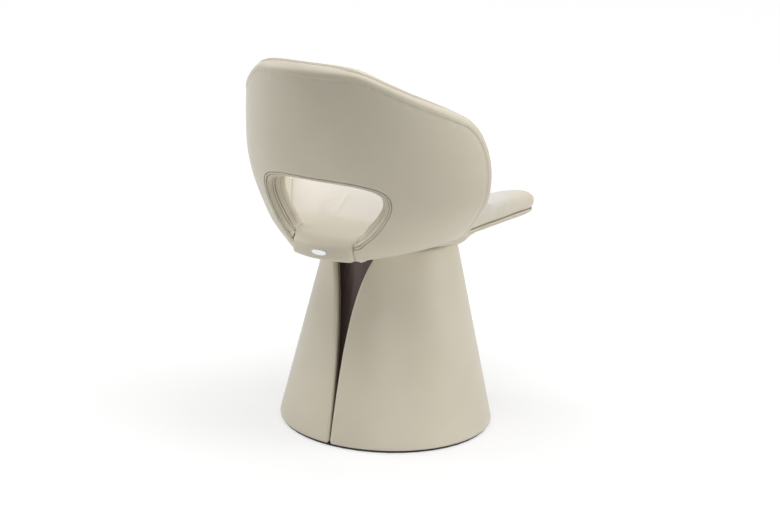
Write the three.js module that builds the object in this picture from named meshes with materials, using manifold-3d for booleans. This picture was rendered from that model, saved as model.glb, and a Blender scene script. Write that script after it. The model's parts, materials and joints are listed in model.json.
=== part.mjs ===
import * as THREE from 'three';
import { mergeVertices } from 'three/addons/utils/BufferGeometryUtils.js';
import Module from 'manifold-3d';

// A leather armchair that swivels on a closed cone, in millimetres, +Z up.
// The origin lies on the floor on the swivel axis. The sitter faces -Y.

// General clearances
const seatingGap = 0.3;          // between two pieces that rest on each other
const cutOverrun = 2;            // how far a cutting shape runs past what it cuts
const roundSides = 44;           // facets round a large turned piece
const innerSides = 24;           // facets round a piece inside the pedestal
const boltSides = 10;            // facets round a bolt

// Floor pad and base plate, whose rim shows as a thin dark line under the skirt
const floorPadSetback = 2;
const floorPadThickness = 2;
const basePlateThickness = 8;
const basePlateChamfer = 2;
const plinthSetback = 5;         // rim of the base plate inside the foot of the leather

// Cone skirt
const coneFootHeight = 5;        // the leather ends this far above the floor
const coneTopHeight = 396;
const coneFootRadius = 224;
const coneTopRadius = 133;
const coverThickness = 13;       // padded leather round the skirt
const skirtThickness = 6;        // moulded skirt behind the leather
const skirtGap = 1.2;            // between the faceted walls of skirt and leather
const slitTopHalfWidth = 61;     // opening at the back, at the top of the cone
const slitNarrowing = 105;       // height in which the opening narrows to 1/e of its width
const slitLean = 17;             // how far the opening leans to the sitter's left at the top
const slitRearCover = 2;         // how much wider the skirt's own opening is than the leather's
const coreSetback = 14;          // dark inner cone behind the skirt
const coreThickness = 5;
const coreTopDrop = 10;

// Column
const columnRadius = 32;
const columnWall = 8;
const columnTopDrop = 44;        // below the top of the cone
const flangeRadius = 90;
const flangeThickness = 8;
const gussetReach = 44;
const gussetRise = 70;
const gussetThickness = 6;
const gussetCount = 4;
const footBoltCount = 4;
const footBoltCircle = 72;
const boltShankRadius = 4;
const boltHeadRadius = 6.5;
const boltHeadHeight = 6;
const boltClearance = 0.3;

// Skirt carrier at the top of the column
const carrierDrop = 16;          // below the top of the column
const carrierThickness = 6;
const carrierHubWall = 8;
const carrierHubRise = 14;
const carrierRimWidth = 12;
const carrierRimDrop = 16;
const carrierArmWidth = 26;
const carrierArmCount = 5;

// Spindle, bushes and ball race
const spindleRadius = 19.8;
const spindleRunningGap = 0.4;
const spindleReach = 144;        // from the top of the column down to the spindle's foot
const bushLength = 34;
const bushFlangeRadius = 29;
const bushFlangeThickness = 3;
const lowerBushDrop = 116;       // from the top of the column down to the lower bush
const retainingRingRadius = 23.5;
const retainingRingThickness = 3;
const ringGrooveDepth = 1.8;
const raceThickness = 5;
const raceInnerRadius = 22;
const raceOuterRadius = 42;
const ballRadius = 4.5;
const ballCount = 10;
const ballSides = 8;
const ballRings = 6;
const ballCircle = 32;
const ballGrooveDepth = 1.6;
const cageThickness = 2.4;
const cageWidth = 7;
const ballPocketGap = 0.4;

// Swivel plate under the seat
const plateRadius = 90;
const plateThickness = 8;
const hubRadius = 44;
const hubFlare = 12;
const plateBoltCount = 4;
const plateBoltCircle = 70;

// Back shell
const shellHeight = 382;
const shellDrop = 38;            // its foot below the top of the seat board
const shellCentreY = 25;
const shellHalfWidth = 288;
const shellRearReach = 340;      // behind shellCentreY, at the top rim
const shellThickness = 40;
const coreShellThickness = 12;
const coreShellMargin = 12;
const windowRound = 10;
const padGap = 0.3;
const coreGap = 1.2;             // round the core, inside the faceted pads
const legGap = 0.4;              // between the tongue and the legs of the back
const backBoltRadius = 4;
const backBoltHeadRadius = 6;
const backBoltHeadHeight = 3;
const backBoltSink = 6.5;        // head below the outer face of the core
const barrelNutRadius = 6;
const barrelNutSetback = 24;
const backBoltTurns = [29, 37];  // degrees from the rear

// Seat
const seatLift = 6;              // underside of the seat above the cone
const underDepth = 18;           // from the underside up to the seat board
const underOpeningRadius = 98;
const underBowlWidth = 62;       // sloping edge of the underside
const boardThickness = 18;
const boardInset = 30;           // free edge of the board inside the edge of the seat
const boardHeldInset = 4.6;       // the same where the back holds the seat
const seatFrontReach = 262;
const seatFrontWidthShare = 0.698;
const seatArmWidthShare = 0.656;
const armFrontSetback = 8;       // the back holds the seat from here on
const seatCornerRadius = 34;
const seatCrestRise = 56;        // highest part of the seat above its board
const seatDish = 28;             // how far the middle of the seat lies below its crest
const dishSharpness = 4;         // flat middle with steeper sides
const seatRounding = 24;         // from the side of the cushion to its crest
const seatTuck = 22;             // how far inside the lower edge of an arm the seat ends
const seatRearTuck = 38;         // the same beside the tongue
const seatClearance = 1.2;       // between the seat and the faceted back
const spineShare = 0.57;
const tongueWidthShare = 0.242;
const tongueReachShare = 0.709;
const tongueDepth = 34;          // the tongue hangs down behind this much of its length
const tongueBow = 18;            // how much further back its middle lies
const tongueRise = 8;
const tongueFootDrop = 1;
const tongueRoll = 10;           // its rear edge draws in by this much up to the board's top
const tongueCrestInset = 45;     // and by this much up to its flat top
const tongueSeam = 0.5;          // step in the tongue's side where its hanging part begins
const pipingRadius = 2.5;
const pipingInset = 1;
const pipingSides = 6;
const pipingSteps = 56;

// Sizes that follow from those above
const plinthRadius = coneFootRadius - plinthSetback;
const floorPadRadius = plinthRadius - floorPadSetback;
const columnTopHeight = coneTopHeight - columnTopDrop;
const carrierHeight = columnTopHeight - carrierDrop;
const spindleFootHeight = columnTopHeight - spindleReach;
const lowerBushHeight = columnTopHeight - lowerBushDrop;
const underFlatHeight = coneTopHeight + seatLift;
const boardBottom = underFlatHeight + underDepth;
const boardTopHeight = boardBottom + boardThickness;
const seatCrestHeight = boardTopHeight + seatCrestRise;
const seatFrontHalfWidth = shellHalfWidth * seatFrontWidthShare;
const seatArmHalfWidth = shellHalfWidth * seatArmWidthShare;
const armFrontY = shellCentreY + armFrontSetback;
const tongueHalfWidth = shellHalfWidth * tongueWidthShare;
const tongueRearY = shellCentreY + shellRearReach * tongueReachShare;
const tongueRootY = tongueRearY - tongueDepth;
const tongueTopHeight = boardTopHeight + tongueRise;
const tongueFootHeight = underFlatHeight - tongueFootDrop;
const shellFootHeight = boardTopHeight - shellDrop;
const backBoltHeight = boardTopHeight - boardThickness / 2;

// Half width, rear reach and squareness of the back shell in plan, over its height
const shellWidthShares = [
  [0, 0.474], [0.016, 0.523], [0.055, 0.625], [0.105, 0.722], [0.144, 0.773], [0.236, 0.872],
  [0.327, 0.957], [0.432, 0.996], [0.524, 1], [0.668, 0.981], [0.785, 0.955], [0.916, 0.92], [1.03, 0.872],
];
const shellReachShares = [
  [0, 0.735], [0.094, 0.741], [0.236, 0.771], [0.393, 0.806], [0.524, 0.85], [0.654, 0.891],
  [0.785, 0.932], [1.03, 1.008],
];
const shellSquarenessShares = [[0, 2.2], [0.13, 2.2], [0.236, 2.1], [0.34, 2], [1, 2]];

// Half outline of the back shell from the middle of the top rim to the foot of one leg:
// turn and height of the outer edge, then turn and height of the edge round the opening.
// Turns are shares of a quarter turn from the rear, heights are shares of the shell's height.
const shellOutlineShares = [
  [0, 1.014, 0, 0.414], [0.12, 1.014, 0.06, 0.414], [0.22, 1.011, 0.115, 0.412], [0.285, 1.003, 0.16, 0.409],
  [0.335, 0.985, 0.2, 0.404], [0.4, 0.95, 0.235, 0.397], [0.5, 0.895, 0.27, 0.388], [0.6, 0.843, 0.298, 0.375],
  [0.69, 0.795, 0.318, 0.358], [0.762, 0.745, 0.331, 0.337], [0.81, 0.66, 0.338, 0.31],
  [0.835, 0.555, 0.338, 0.283], [0.845, 0.45, 0.333, 0.255], [0.858, 0.355, 0.323, 0.226],
  [0.885, 0.27, 0.309, 0.198], [0.915, 0.195, 0.293, 0.172], [0.93, 0.135, 0.277, 0.15],
  [0.94, 0.095, 0.26, 0.133], [0.83, 0.07, 0.245, 0.12], [0.67, 0.04, 0.232, 0.109],
  [0.47, 0.006, 0.22, 0.101], [0.27, -0.028, 0.188, 0.094],
];

const wasm = await Module();
wasm.setup();

// Solids
function toSolid(geometry) {
  const bare = geometry.clone();
  bare.deleteAttribute('normal');
  bare.deleteAttribute('uv');
  const merged = mergeVertices(bare);
  const mesh = new wasm.Mesh({
    numProp: 3,
    vertProperties: new Float32Array(merged.attributes.position.array),
    triVerts: new Uint32Array(merged.index.array),
  });
  return new wasm.Manifold(mesh);
}

function toGeometry(solid) {
  const mesh = solid.getMesh();
  const geometry = new THREE.BufferGeometry();
  geometry.setAttribute('position', new THREE.BufferAttribute(mesh.vertProperties, 3));
  geometry.setIndex(new THREE.BufferAttribute(mesh.triVerts, 1));
  geometry.computeVertexNormals();
  return geometry;
}

function cut(body, ...tools) {
  const solid = tools.reduce((rest, tool) => rest.subtract(toSolid(tool)), toSolid(body));
  return toGeometry(solid);
}

function join(body, ...others) {
  const solid = others.reduce((sum, other) => sum.add(toSolid(other)), toSolid(body));
  return toGeometry(solid);
}

// Smooth value of a table of [place, value] rows
function tableValue(table, place) {
  const last = table.length - 1;
  const t = THREE.MathUtils.clamp(place, table[0][0], table[last][0]);
  let k = 0;
  while (k < last - 1 && t > table[k + 1][0]) k += 1;
  const slopeAt = (i) => {
    const before = Math.max(i - 1, 0);
    const after = Math.min(i + 1, last);
    return (table[after][1] - table[before][1]) / (table[after][0] - table[before][0]);
  };
  const span = table[k + 1][0] - table[k][0];
  const u = (t - table[k][0]) / span;
  const hermite = (2 * u ** 3 - 3 * u ** 2 + 1) * table[k][1]
    + (u ** 3 - 2 * u ** 2 + u) * span * slopeAt(k)
    + (3 * u ** 2 - 2 * u ** 3) * table[k + 1][1]
    + (u ** 3 - u ** 2) * span * slopeAt(k + 1);
  return hermite;
}

// Strip of faces between two equal rings, each quad split along its shorter diagonal
function ringFaces(rings, here, next, index) {
  const count = rings[0].length;
  for (let i = 0; i < count; i += 1) {
    const j = (i + 1) % count;
    const [a, b, c, d] = [here * count + i, here * count + j, next * count + j, next * count + i];
    const rising = rings[here][i].distanceTo(rings[next][j]);
    const falling = rings[here][j].distanceTo(rings[next][i]);
    if (rising <= falling) index.push(a, b, c, a, c, d);
    else index.push(a, b, d, b, c, d);
  }
}

// Closed body of equal rings of points whose last ring meets the first
function loopLoft(rings) {
  const positions = rings.flat().flatMap((p) => [p.x, p.y, p.z]);
  const index = [];
  rings.forEach((_, r) => ringFaces(rings, r, (r + 1) % rings.length, index));
  return outward(positions, index);
}

// Closed body through equal rings of points, its two ends closed towards their middles
function ringLoft(rings) {
  const count = rings[0].length;
  const positions = rings.flat().flatMap((p) => [p.x, p.y, p.z]);
  const index = [];
  for (let r = 0; r < rings.length - 1; r += 1) ringFaces(rings, r, r + 1, index);
  [0, rings.length - 1].forEach((r, end) => {
    const middle = rings[r].reduce((sum, p) => sum.add(p), new THREE.Vector3()).divideScalar(count);
    const hub = positions.length / 3;
    positions.push(middle.x, middle.y, middle.z);
    for (let i = 0; i < count; i += 1) {
      const j = (i + 1) % count;
      if (end === 0) index.push(hub, r * count + j, r * count + i);
      else index.push(hub, r * count + i, r * count + j);
    }
  });
  return outward(positions, index);
}

function outward(positions, index) {
  let volume = 0;
  const at = (i) => new THREE.Vector3(...positions.slice(3 * i, 3 * i + 3));
  for (let i = 0; i < index.length; i += 3) {
    volume += at(index[i]).dot(at(index[i + 1]).cross(at(index[i + 2])));
  }
  const order = volume > 0 ? index : index.slice().reverse();
  const geometry = new THREE.BufferGeometry();
  geometry.setAttribute('position', new THREE.Float32BufferAttribute(positions, 3));
  geometry.setIndex(order);
  geometry.computeVertexNormals();
  return geometry;
}

// Body of revolution round Z from [radius, height] corners
function turned(profile, sides = roundSides) {
  const points = profile.map(([radius, height]) => new THREE.Vector2(radius, height));
  if (THREE.ShapeUtils.area(points) < 0) points.reverse();
  return new THREE.LatheGeometry(points, sides).rotateX(Math.PI / 2);
}

// Ring of rectangular section
function ringBody(inner, outer, bottom, top, sides = innerSides) {
  return turned([[inner, bottom], [outer, bottom], [outer, top], [inner, top], [inner, bottom]], sides);
}

function disc(radius, bottom, top, sides = roundSides) {
  return turned([[0, bottom], [radius, bottom], [radius, top], [0, top]], sides);
}

function prism(outline, bottom, height) {
  const geometry = new THREE.ExtrudeGeometry(outline, { depth: height, bevelEnabled: false, steps: 1 });
  return geometry.translate(0, 0, bottom);
}

function around(count, radius, phase, make) {
  return Array.from({ length: count }, (_, i) => {
    const angle = phase + (2 * Math.PI * i) / count;
    return make(angle, radius * Math.cos(angle), radius * Math.sin(angle));
  });
}

const chair = new THREE.Group();

function addPiece(parent, name, geometry, finish) {
  const mesh = new THREE.Mesh(geometry, new THREE.MeshStandardMaterial(finish));
  mesh.name = name;
  parent.add(mesh);
}

// The same piece at several places, each copy with its own number
function addCopies(parent, name, geometries, finish) {
  geometries.forEach((geometry, i) => addPiece(parent, `${name}_${i + 1}`, geometry, finish));
}

const leather = { color: 0xcfc8b8, roughness: 0.55, metalness: 0 };
const darkLeather = { color: 0x3a302c, roughness: 0.6, metalness: 0 };
const felt = { color: 0x3b3a39, roughness: 0.95, metalness: 0 };
const steel = { color: 0x8f9296, roughness: 0.4, metalness: 0.9 };
const blackSteel = { color: 0x2a2a2b, roughness: 0.55, metalness: 0.7 };
const brightSteel = { color: 0xc6c8cc, roughness: 0.15, metalness: 1 };
const bronze = { color: 0xb08d57, roughness: 0.4, metalness: 0.8 };
const mouldedBoard = { color: 0x8a6d4d, roughness: 0.7, metalness: 0 };
const plywood = { color: 0xb9935f, roughness: 0.7, metalness: 0 };

// Base: felt pad, steel plate, column, skirt
const base = new THREE.Group();
chair.add(base);
const plateTop = floorPadThickness + basePlateThickness;
const columnFoot = plateTop + flangeThickness;

function boltBody(headBottom, shankLength) {
  return turned([
    [0, headBottom - shankLength], [boltShankRadius, headBottom - shankLength],
    [boltShankRadius, headBottom], [boltHeadRadius, headBottom],
    [boltHeadRadius, headBottom + boltHeadHeight], [0, headBottom + boltHeadHeight],
  ], boltSides);
}

function boltHoles(count, circle, phase, bottom, top) {
  return around(count, circle, phase, (angle, x, y) => (
    disc(boltShankRadius + boltClearance, bottom - cutOverrun, top + cutOverrun, boltSides).translate(x, y, 0)
  ));
}

function makeBasePlate() {
  const basePlateRadius = coneRadius(plateTop) - coverThickness - 2 * seatingGap;
  const plinthTop = coneFootHeight - seatingGap;
  const profile = [
    [0, floorPadThickness], [plinthRadius, floorPadThickness], [plinthRadius, plinthTop],
    [basePlateRadius, plinthTop], [basePlateRadius, plateTop - basePlateChamfer],
    [basePlateRadius - basePlateChamfer, plateTop], [0, plateTop],
  ];
  const holes = boltHoles(footBoltCount, footBoltCircle, Math.PI / 4, floorPadThickness, plateTop);
  return cut(turned(profile), ...holes);
}

function makeColumn() {
  const flange = ringBody(columnRadius - columnWall, flangeRadius, plateTop, columnFoot);
  const tube = ringBody(columnRadius - columnWall, columnRadius, plateTop, columnTopHeight);
  const gussetShape = new THREE.Shape([
    new THREE.Vector2(columnRadius - columnWall / 2, columnFoot - flangeThickness / 2),
    new THREE.Vector2(columnRadius + gussetReach, columnFoot - flangeThickness / 2),
    new THREE.Vector2(columnRadius + gussetReach, columnFoot + gussetThickness),
    new THREE.Vector2(columnRadius + gussetThickness, columnFoot + gussetRise),
    new THREE.Vector2(columnRadius - columnWall / 2, columnFoot + gussetRise),
  ]);
  const gussets = around(gussetCount, 0, 0, (angle) => (
    new THREE.ExtrudeGeometry(gussetShape, { depth: gussetThickness, bevelEnabled: false })
      .translate(0, 0, -gussetThickness / 2).rotateX(Math.PI / 2).rotateZ(angle)
  ));
  const welded = join(tube, flange, ...gussets);
  return cut(welded, ...boltHoles(footBoltCount, footBoltCircle, Math.PI / 4, plateTop, columnFoot));
}

function makeFootBolts() {
  const headBottom = columnFoot + seatingGap;
  return around(footBoltCount, footBoltCircle, Math.PI / 4, (angle, x, y) => (
    boltBody(headBottom, flangeThickness + basePlateThickness).translate(x, y, 0)
  ));
}

function coneRadius(height) {
  const share = (height - coneFootHeight) / (coneTopHeight - coneFootHeight);
  return THREE.MathUtils.lerp(coneFootRadius, coneTopRadius, share);
}

function slitHalfWidth(height) {
  return slitTopHalfWidth * Math.exp((height - coneTopHeight) / slitNarrowing);
}

// Wall that follows the cone from one edge of the slit round to the other, with rolled edges
const leatherSteps = 46;
const skirtSteps = 23;
const rollSteps = 3;
const slitLevelShares = [0, 0.2, 0.36, 0.5, 0.62, 0.73, 0.83, 0.92, 1];

function coneWall(setback, thickness, bottom, top, extraSlit, wallSteps) {
  const rings = slitLevelShares.map((share) => {
    const height = THREE.MathUtils.lerp(bottom, top, share);
    const outer = coneRadius(height) - setback;
    const middle = outer - thickness / 2;
    const lean = -slitLean * (height / coneTopHeight) / middle;
    const halfTurn = (slitHalfWidth(height) + extraSlit + thickness / 2) / middle;
    const start = Math.PI / 2 + lean + halfTurn;
    const sweep = 2 * Math.PI - 2 * halfTurn;
    const ring = [];
    const put = (angle, radius) => {
      ring.push(new THREE.Vector3(radius * Math.cos(angle), radius * Math.sin(angle), height));
    };
    for (let i = 0; i <= wallSteps; i += 1) put(start + (sweep * i) / wallSteps, outer);
    for (let i = 1; i < rollSteps; i += 1) {
      const roll = (Math.PI * i) / rollSteps;
      const across = (thickness / 2) * Math.cos(roll);
      put(start + sweep + (thickness / 2) * Math.sin(roll) / middle, middle + across);
    }
    for (let i = wallSteps; i >= 0; i -= 1) put(start + (sweep * i) / wallSteps, outer - thickness);
    for (let i = 1; i < rollSteps; i += 1) {
      const roll = (Math.PI * i) / rollSteps;
      const across = (thickness / 2) * Math.cos(roll);
      put(start - (thickness / 2) * Math.sin(roll) / middle, middle - across);
    }
    return ring;
  });
  return wallLoft(rings, wallSteps);
}

// Like ringLoft, with end faces that join the outer run of each ring to its inner run
function wallLoft(rings, wallSteps) {
  const count = rings[0].length;
  const positions = rings.flat().flatMap((p) => [p.x, p.y, p.z]);
  const index = [];
  for (let r = 0; r < rings.length - 1; r += 1) ringFaces(rings, r, r + 1, index);
  const inner = (i) => 2 * wallSteps + rollSteps - i;
  [0, rings.length - 1].forEach((r, end) => {
    const addFace = (a, b, c) => {
      const face = [a, b, c].map((i) => r * count + (i % count));
      index.push(...(end === 0 ? face.reverse() : face));
    };
    for (let i = 0; i < wallSteps; i += 1) {
      addFace(i, i + 1, inner(i + 1));
      addFace(i, inner(i + 1), inner(i));
    }
    for (let i = 0; i < rollSteps - 1; i += 1) {
      addFace(wallSteps, wallSteps + 1 + i, wallSteps + 2 + i);
      addFace(inner(0), inner(0) + 1 + i, inner(0) + 2 + i);
    }
  });
  return outward(positions, index);
}

function makeCoreCone() {
  const inset = coverThickness + skirtThickness + coreSetback;
  const top = coneTopHeight - coreTopDrop;
  const foot = plateTop + seatingGap;
  return turned([
    [coneRadius(foot) - inset - coreThickness, foot], [coneRadius(foot) - inset, foot],
    [coneRadius(top) - inset, top], [coneRadius(top) - inset - coreThickness, top],
    [coneRadius(foot) - inset - coreThickness, foot],
  ]);
}

function makeCarrier() {
  const inset = coverThickness + skirtThickness + coreSetback + coreThickness + seatingGap;
  const top = carrierHeight + carrierThickness;
  const rimBottom = carrierHeight - carrierRimDrop;
  const rimInner = coneRadius(top) - inset - carrierRimWidth;
  const rim = turned([
    [rimInner, rimBottom], [coneRadius(rimBottom) - inset - seatingGap, rimBottom],
    [coneRadius(top) - inset - seatingGap, top], [rimInner, top], [rimInner, rimBottom],
  ], innerSides);
  const boreRadius = columnRadius + seatingGap;
  const hub = ringBody(boreRadius, boreRadius + carrierHubWall, top - carrierHubRise, top);
  const armStart = boreRadius + carrierHubWall / 2;
  const armEnd = coneRadius(top) - inset - carrierRimWidth / 2;
  const arms = around(carrierArmCount, 0, -Math.PI / 2, (angle) => (
    new THREE.BoxGeometry(armEnd - armStart, carrierArmWidth, carrierThickness)
      .translate((armStart + armEnd) / 2, 0, carrierHeight + carrierThickness / 2).rotateZ(angle)
  ));
  return join(rim, hub, ...arms);
}

function makeUpperBush(flangeBottom) {
  const bore = spindleRadius + spindleRunningGap;
  const sleeve = columnRadius - columnWall - seatingGap;
  const end = flangeBottom - bushLength;
  return turned([
    [bore, end], [sleeve, end], [sleeve, flangeBottom], [bushFlangeRadius, flangeBottom],
    [bushFlangeRadius, flangeBottom + bushFlangeThickness], [bore, flangeBottom + bushFlangeThickness],
    [bore, end],
  ], innerSides);
}

addPiece(base, 'floor_pad', disc(floorPadRadius, 0, floorPadThickness), felt);
addPiece(base, 'base_plate', makeBasePlate(), blackSteel);
addPiece(base, 'column', makeColumn(), steel);
addCopies(base, 'foot_bolt', makeFootBolts(), steel);
addPiece(base, 'skirt_carrier', makeCarrier(), blackSteel);
addPiece(base, 'inner_cone', makeCoreCone(), darkLeather);
addPiece(
  base, 'skirt_shell',
  coneWall(coverThickness + skirtGap, skirtThickness, plateTop + seatingGap, coneTopHeight - slitRearCover,
    slitRearCover, skirtSteps),
  mouldedBoard,
);
addPiece(
  base, 'skirt_leather',
  coneWall(0, coverThickness, coneFootHeight, coneTopHeight, 0, leatherSteps),
  leather,
);

// Bushes, ball race and spindle
const upperBushFlange = columnTopHeight + seatingGap;
const lowerRaceBottom = upperBushFlange + bushFlangeThickness + seatingGap;
const ballCentreHeight = lowerRaceBottom + raceThickness + ballRadius - ballGrooveDepth + seatingGap;
const upperRaceBottom = ballCentreHeight + ballRadius - ballGrooveDepth + seatingGap;
const spindleShoulder = upperRaceBottom + raceThickness + seatingGap;
const plateBottom = boardBottom - seatingGap - plateThickness;

function makeLowerBush() {
  const bore = spindleRadius + spindleRunningGap;
  const sleeve = columnRadius - columnWall - seatingGap;
  return ringBody(bore, sleeve, lowerBushHeight, lowerBushHeight + bushLength);
}

// Race ring with a round groove for the balls in its upper or lower face
const grooveShares = [-1, -0.5, 0, 0.5, 1];

function makeRace(bottom, grooveSide) {
  const floor = bottom + raceThickness;
  const face = grooveSide > 0 ? floor : bottom;
  const back = grooveSide > 0 ? bottom : floor;
  const grooveRadius = ballRadius + seatingGap;
  const grooveHalf = Math.sqrt(grooveRadius ** 2 - (grooveRadius - ballGrooveDepth) ** 2);
  const groove = grooveShares.map((share) => {
    const across = share * grooveHalf;
    const depth = Math.sqrt(grooveRadius ** 2 - across ** 2) - (grooveRadius - ballGrooveDepth);
    return [ballCircle + across, face - grooveSide * depth];
  });
  return turned([
    [raceInnerRadius, back], [raceInnerRadius, face], ...groove, [raceOuterRadius, face],
    [raceOuterRadius, back], [raceInnerRadius, back],
  ], innerSides);
}

function makeBalls() {
  return around(ballCount, ballCircle, 0, (angle, x, y) => (
    new THREE.SphereGeometry(ballRadius, ballSides, ballRings).rotateX(Math.PI / 2)
      .translate(x, y, ballCentreHeight)
  ));
}

function makeCage() {
  const bottom = ballCentreHeight - cageThickness / 2;
  const ring = ringBody(ballCircle - cageWidth, ballCircle + cageWidth, bottom, bottom + cageThickness);
  const pockets = around(ballCount, ballCircle, 0, (angle, x, y) => (
    disc(ballRadius + ballPocketGap, bottom - cutOverrun, bottom + cageThickness + cutOverrun, boltSides)
      .translate(x, y, 0)
  ));
  return cut(ring, ...pockets);
}

const retainingRingTop = lowerBushHeight - seatingGap;
const retainingRingBottom = retainingRingTop - retainingRingThickness;

// Shaft with a shoulder on the upper race and a flared hub under the swivel plate
function makeSpindle() {
  const groove = spindleRadius - ringGrooveDepth;
  return turned([
    [0, spindleFootHeight], [spindleRadius - ringGrooveDepth, spindleFootHeight],
    [spindleRadius, spindleFootHeight + ringGrooveDepth],
    [spindleRadius, retainingRingBottom - seatingGap], [groove, retainingRingBottom - seatingGap],
    [groove, retainingRingTop + seatingGap / 2], [spindleRadius, retainingRingTop + seatingGap / 2],
    [spindleRadius, spindleShoulder], [hubRadius - hubFlare, spindleShoulder],
    [hubRadius, plateBottom - seatingGap], [0, plateBottom - seatingGap],
  ], innerSides);
}

function makeRetainingRing() {
  const inner = spindleRadius - ringGrooveDepth + seatingGap;
  return ringBody(inner, retainingRingRadius, retainingRingBottom, retainingRingTop);
}

function makeSwivelPlate() {
  const top = plateBottom + plateThickness;
  const holes = boltHoles(plateBoltCount, plateBoltCircle, 0, plateBottom, top);
  return cut(disc(plateRadius, plateBottom, top), ...holes);
}

const plateBoltLength = plateThickness + boardThickness - cutOverrun;

function makePlateBolts() {
  const headTop = plateBottom - seatingGap;
  return around(plateBoltCount, plateBoltCircle, 0, (angle, x, y) => (
    boltBody(0, plateBoltLength).rotateX(Math.PI).translate(x, y, headTop)
  ));
}

addPiece(base, 'upper_bush', makeUpperBush(upperBushFlange), bronze);
addPiece(base, 'lower_bush', makeLowerBush(), bronze);
addPiece(base, 'lower_race', makeRace(lowerRaceBottom, 1), steel);

const ballRing = new THREE.Group();
chair.add(ballRing);
addPiece(ballRing, 'ball_cage', makeCage(), bronze);
addCopies(ballRing, 'bearing_ball', makeBalls(), brightSteel);

const seat = new THREE.Group();
chair.add(seat);
addPiece(seat, 'upper_race', makeRace(upperRaceBottom, -1), steel);
addPiece(seat, 'spindle', makeSpindle(), steel);
addPiece(seat, 'retaining_ring', makeRetainingRing(), blackSteel);
addPiece(seat, 'swivel_plate', makeSwivelPlate(), blackSteel);
addCopies(seat, 'plate_bolt', makePlateBolts(), steel);

// Surface of the back shell
function shellSection(height) {
  const share = (height - shellFootHeight) / shellHeight;
  return {
    halfWidth: shellHalfWidth * tableValue(shellWidthShares, share),
    reach: shellRearReach * tableValue(shellReachShares, share),
    power: tableValue(shellSquarenessShares, share),
  };
}

function shellPoint(turn, height) {
  const { halfWidth, reach, power } = shellSection(height);
  const sine = Math.sin(turn);
  const x = -Math.sign(sine) * halfWidth * Math.abs(sine) ** (2 / power);
  return new THREE.Vector3(x, shellCentreY + reach * Math.cos(turn) ** (2 / power), height);
}

function shellField(point) {
  const { halfWidth, reach, power } = shellSection(point.z);
  return Math.abs(point.x / halfWidth) ** power + Math.abs((point.y - shellCentreY) / reach) ** power;
}

function shellNormal(point) {
  const step = shellThickness / 100;
  const slopeAlong = (axis) => {
    const ahead = point.clone();
    const behind = point.clone();
    ahead[axis] += step;
    behind[axis] -= step;
    return shellField(ahead) - shellField(behind);
  };
  return new THREE.Vector3(slopeAlong('x'), slopeAlong('y'), slopeAlong('z')).normalize();
}

// Both edges of the horseshoe at a station from one leg (-1) over the rim (0) to the other leg (1)
function shellEdges(station) {
  const side = station < 0 ? -1 : 1;
  const place = Math.abs(station) * (shellOutlineShares.length - 1);
  const column = (k) => tableValue(shellOutlineShares.map((row, i) => [i, row[k]]), place);
  const spot = (turnShare, heightShare) => ({
    turn: (side * turnShare * Math.PI) / 2,
    height: shellFootHeight + heightShare * shellHeight,
  });
  return [spot(column(0), column(1)), spot(column(2), column(3))];
}

// One layer of the shell. Its section lists [distance from the rim, share across, depth] corners.
function shellLayer(sectionAt) {
  const rows = shellOutlineShares.length - 1;
  const stations = Array.from({ length: 2 * rows + 1 }, (_, i) => (i - rows) / rows);
  const rings = stations.map((station) => {
    const [outer, inner] = shellEdges(station);
    const span = shellPoint(outer.turn, outer.height).distanceTo(shellPoint(inner.turn, inner.height));
    return sectionAt(span, station).map(({ along, depth }) => {
      const share = along / span;
      const turn = THREE.MathUtils.lerp(outer.turn, inner.turn, share);
      const height = THREE.MathUtils.lerp(outer.height, inner.height, share);
      const point = shellPoint(turn, height);
      return point.addScaledVector(shellNormal(point), -depth);
    });
  });
  return ringLoft(rings);
}

const edgeShares = [0, 0.5, 1];
const rimShares = [0.04, 0.34, 0.67, 1];
const faceShares = [0.25, 0.5, 0.75];
const coreShares = [0, 0.25, 0.5, 0.75, 1];
const rimRadius = shellThickness / 2;
const coreOuterDepth = (shellThickness - coreShellThickness) / 2;

// Outer face in section: half of the round rim, the face, a small round at the opening.
// A swollen section stands that much further out.
function faceSection(span, swell = 0) {
  const middle = rimRadius - padGap / 2;
  const rim = rimShares.map((share) => {
    const roll = (share * Math.PI) / 2;
    return {
      along: rimRadius - (rimRadius + swell) * Math.cos(roll),
      depth: Math.min(rimRadius - (rimRadius + swell) * Math.sin(roll), middle),
    };
  });
  const face = faceShares.map((share) => ({
    along: THREE.MathUtils.lerp(rimRadius, span - windowRound, share), depth: -swell,
  }));
  const edge = edgeShares.map((share) => {
    const roll = (share * Math.PI) / 2;
    return {
      along: span - windowRound + (windowRound + swell) * Math.sin(roll),
      depth: windowRound - (windowRound + swell) * Math.cos(roll),
    };
  });
  return [...rim, ...face, ...edge, { along: span + swell, depth: middle }];
}

function mirroredSection(section) {
  return section.map(({ along, depth }) => ({ along, depth: shellThickness - depth }));
}

// One half of the upholstery, with a recess for the core
function padSection(span) {
  const middle = rimRadius - padGap / 2;
  const recess = coreOuterDepth - coreGap;
  const margin = coreShellMargin - coreGap;
  return [
    ...faceSection(span),
    { along: span - margin, depth: middle },
    ...coreShares.map((share) => ({
      along: THREE.MathUtils.lerp(span - margin, margin, share), depth: recess,
    })),
    { along: margin, depth: middle },
  ];
}

// Whole thickness of the back and the clearance round it
function keptClearSection(span) {
  const outer = faceSection(span, seatClearance);
  return [...outer, ...mirroredSection(outer).reverse()];
}

function coreSection(span) {
  const near = coreOuterDepth;
  const far = coreOuterDepth + coreShellThickness;
  const places = coreShares.map((share) => (
    THREE.MathUtils.lerp(coreShellMargin, span - coreShellMargin, share)
  ));
  return [
    ...places.map((along) => ({ along, depth: near })),
    ...places.reverse().map((along) => ({ along, depth: far })),
  ];
}

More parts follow.
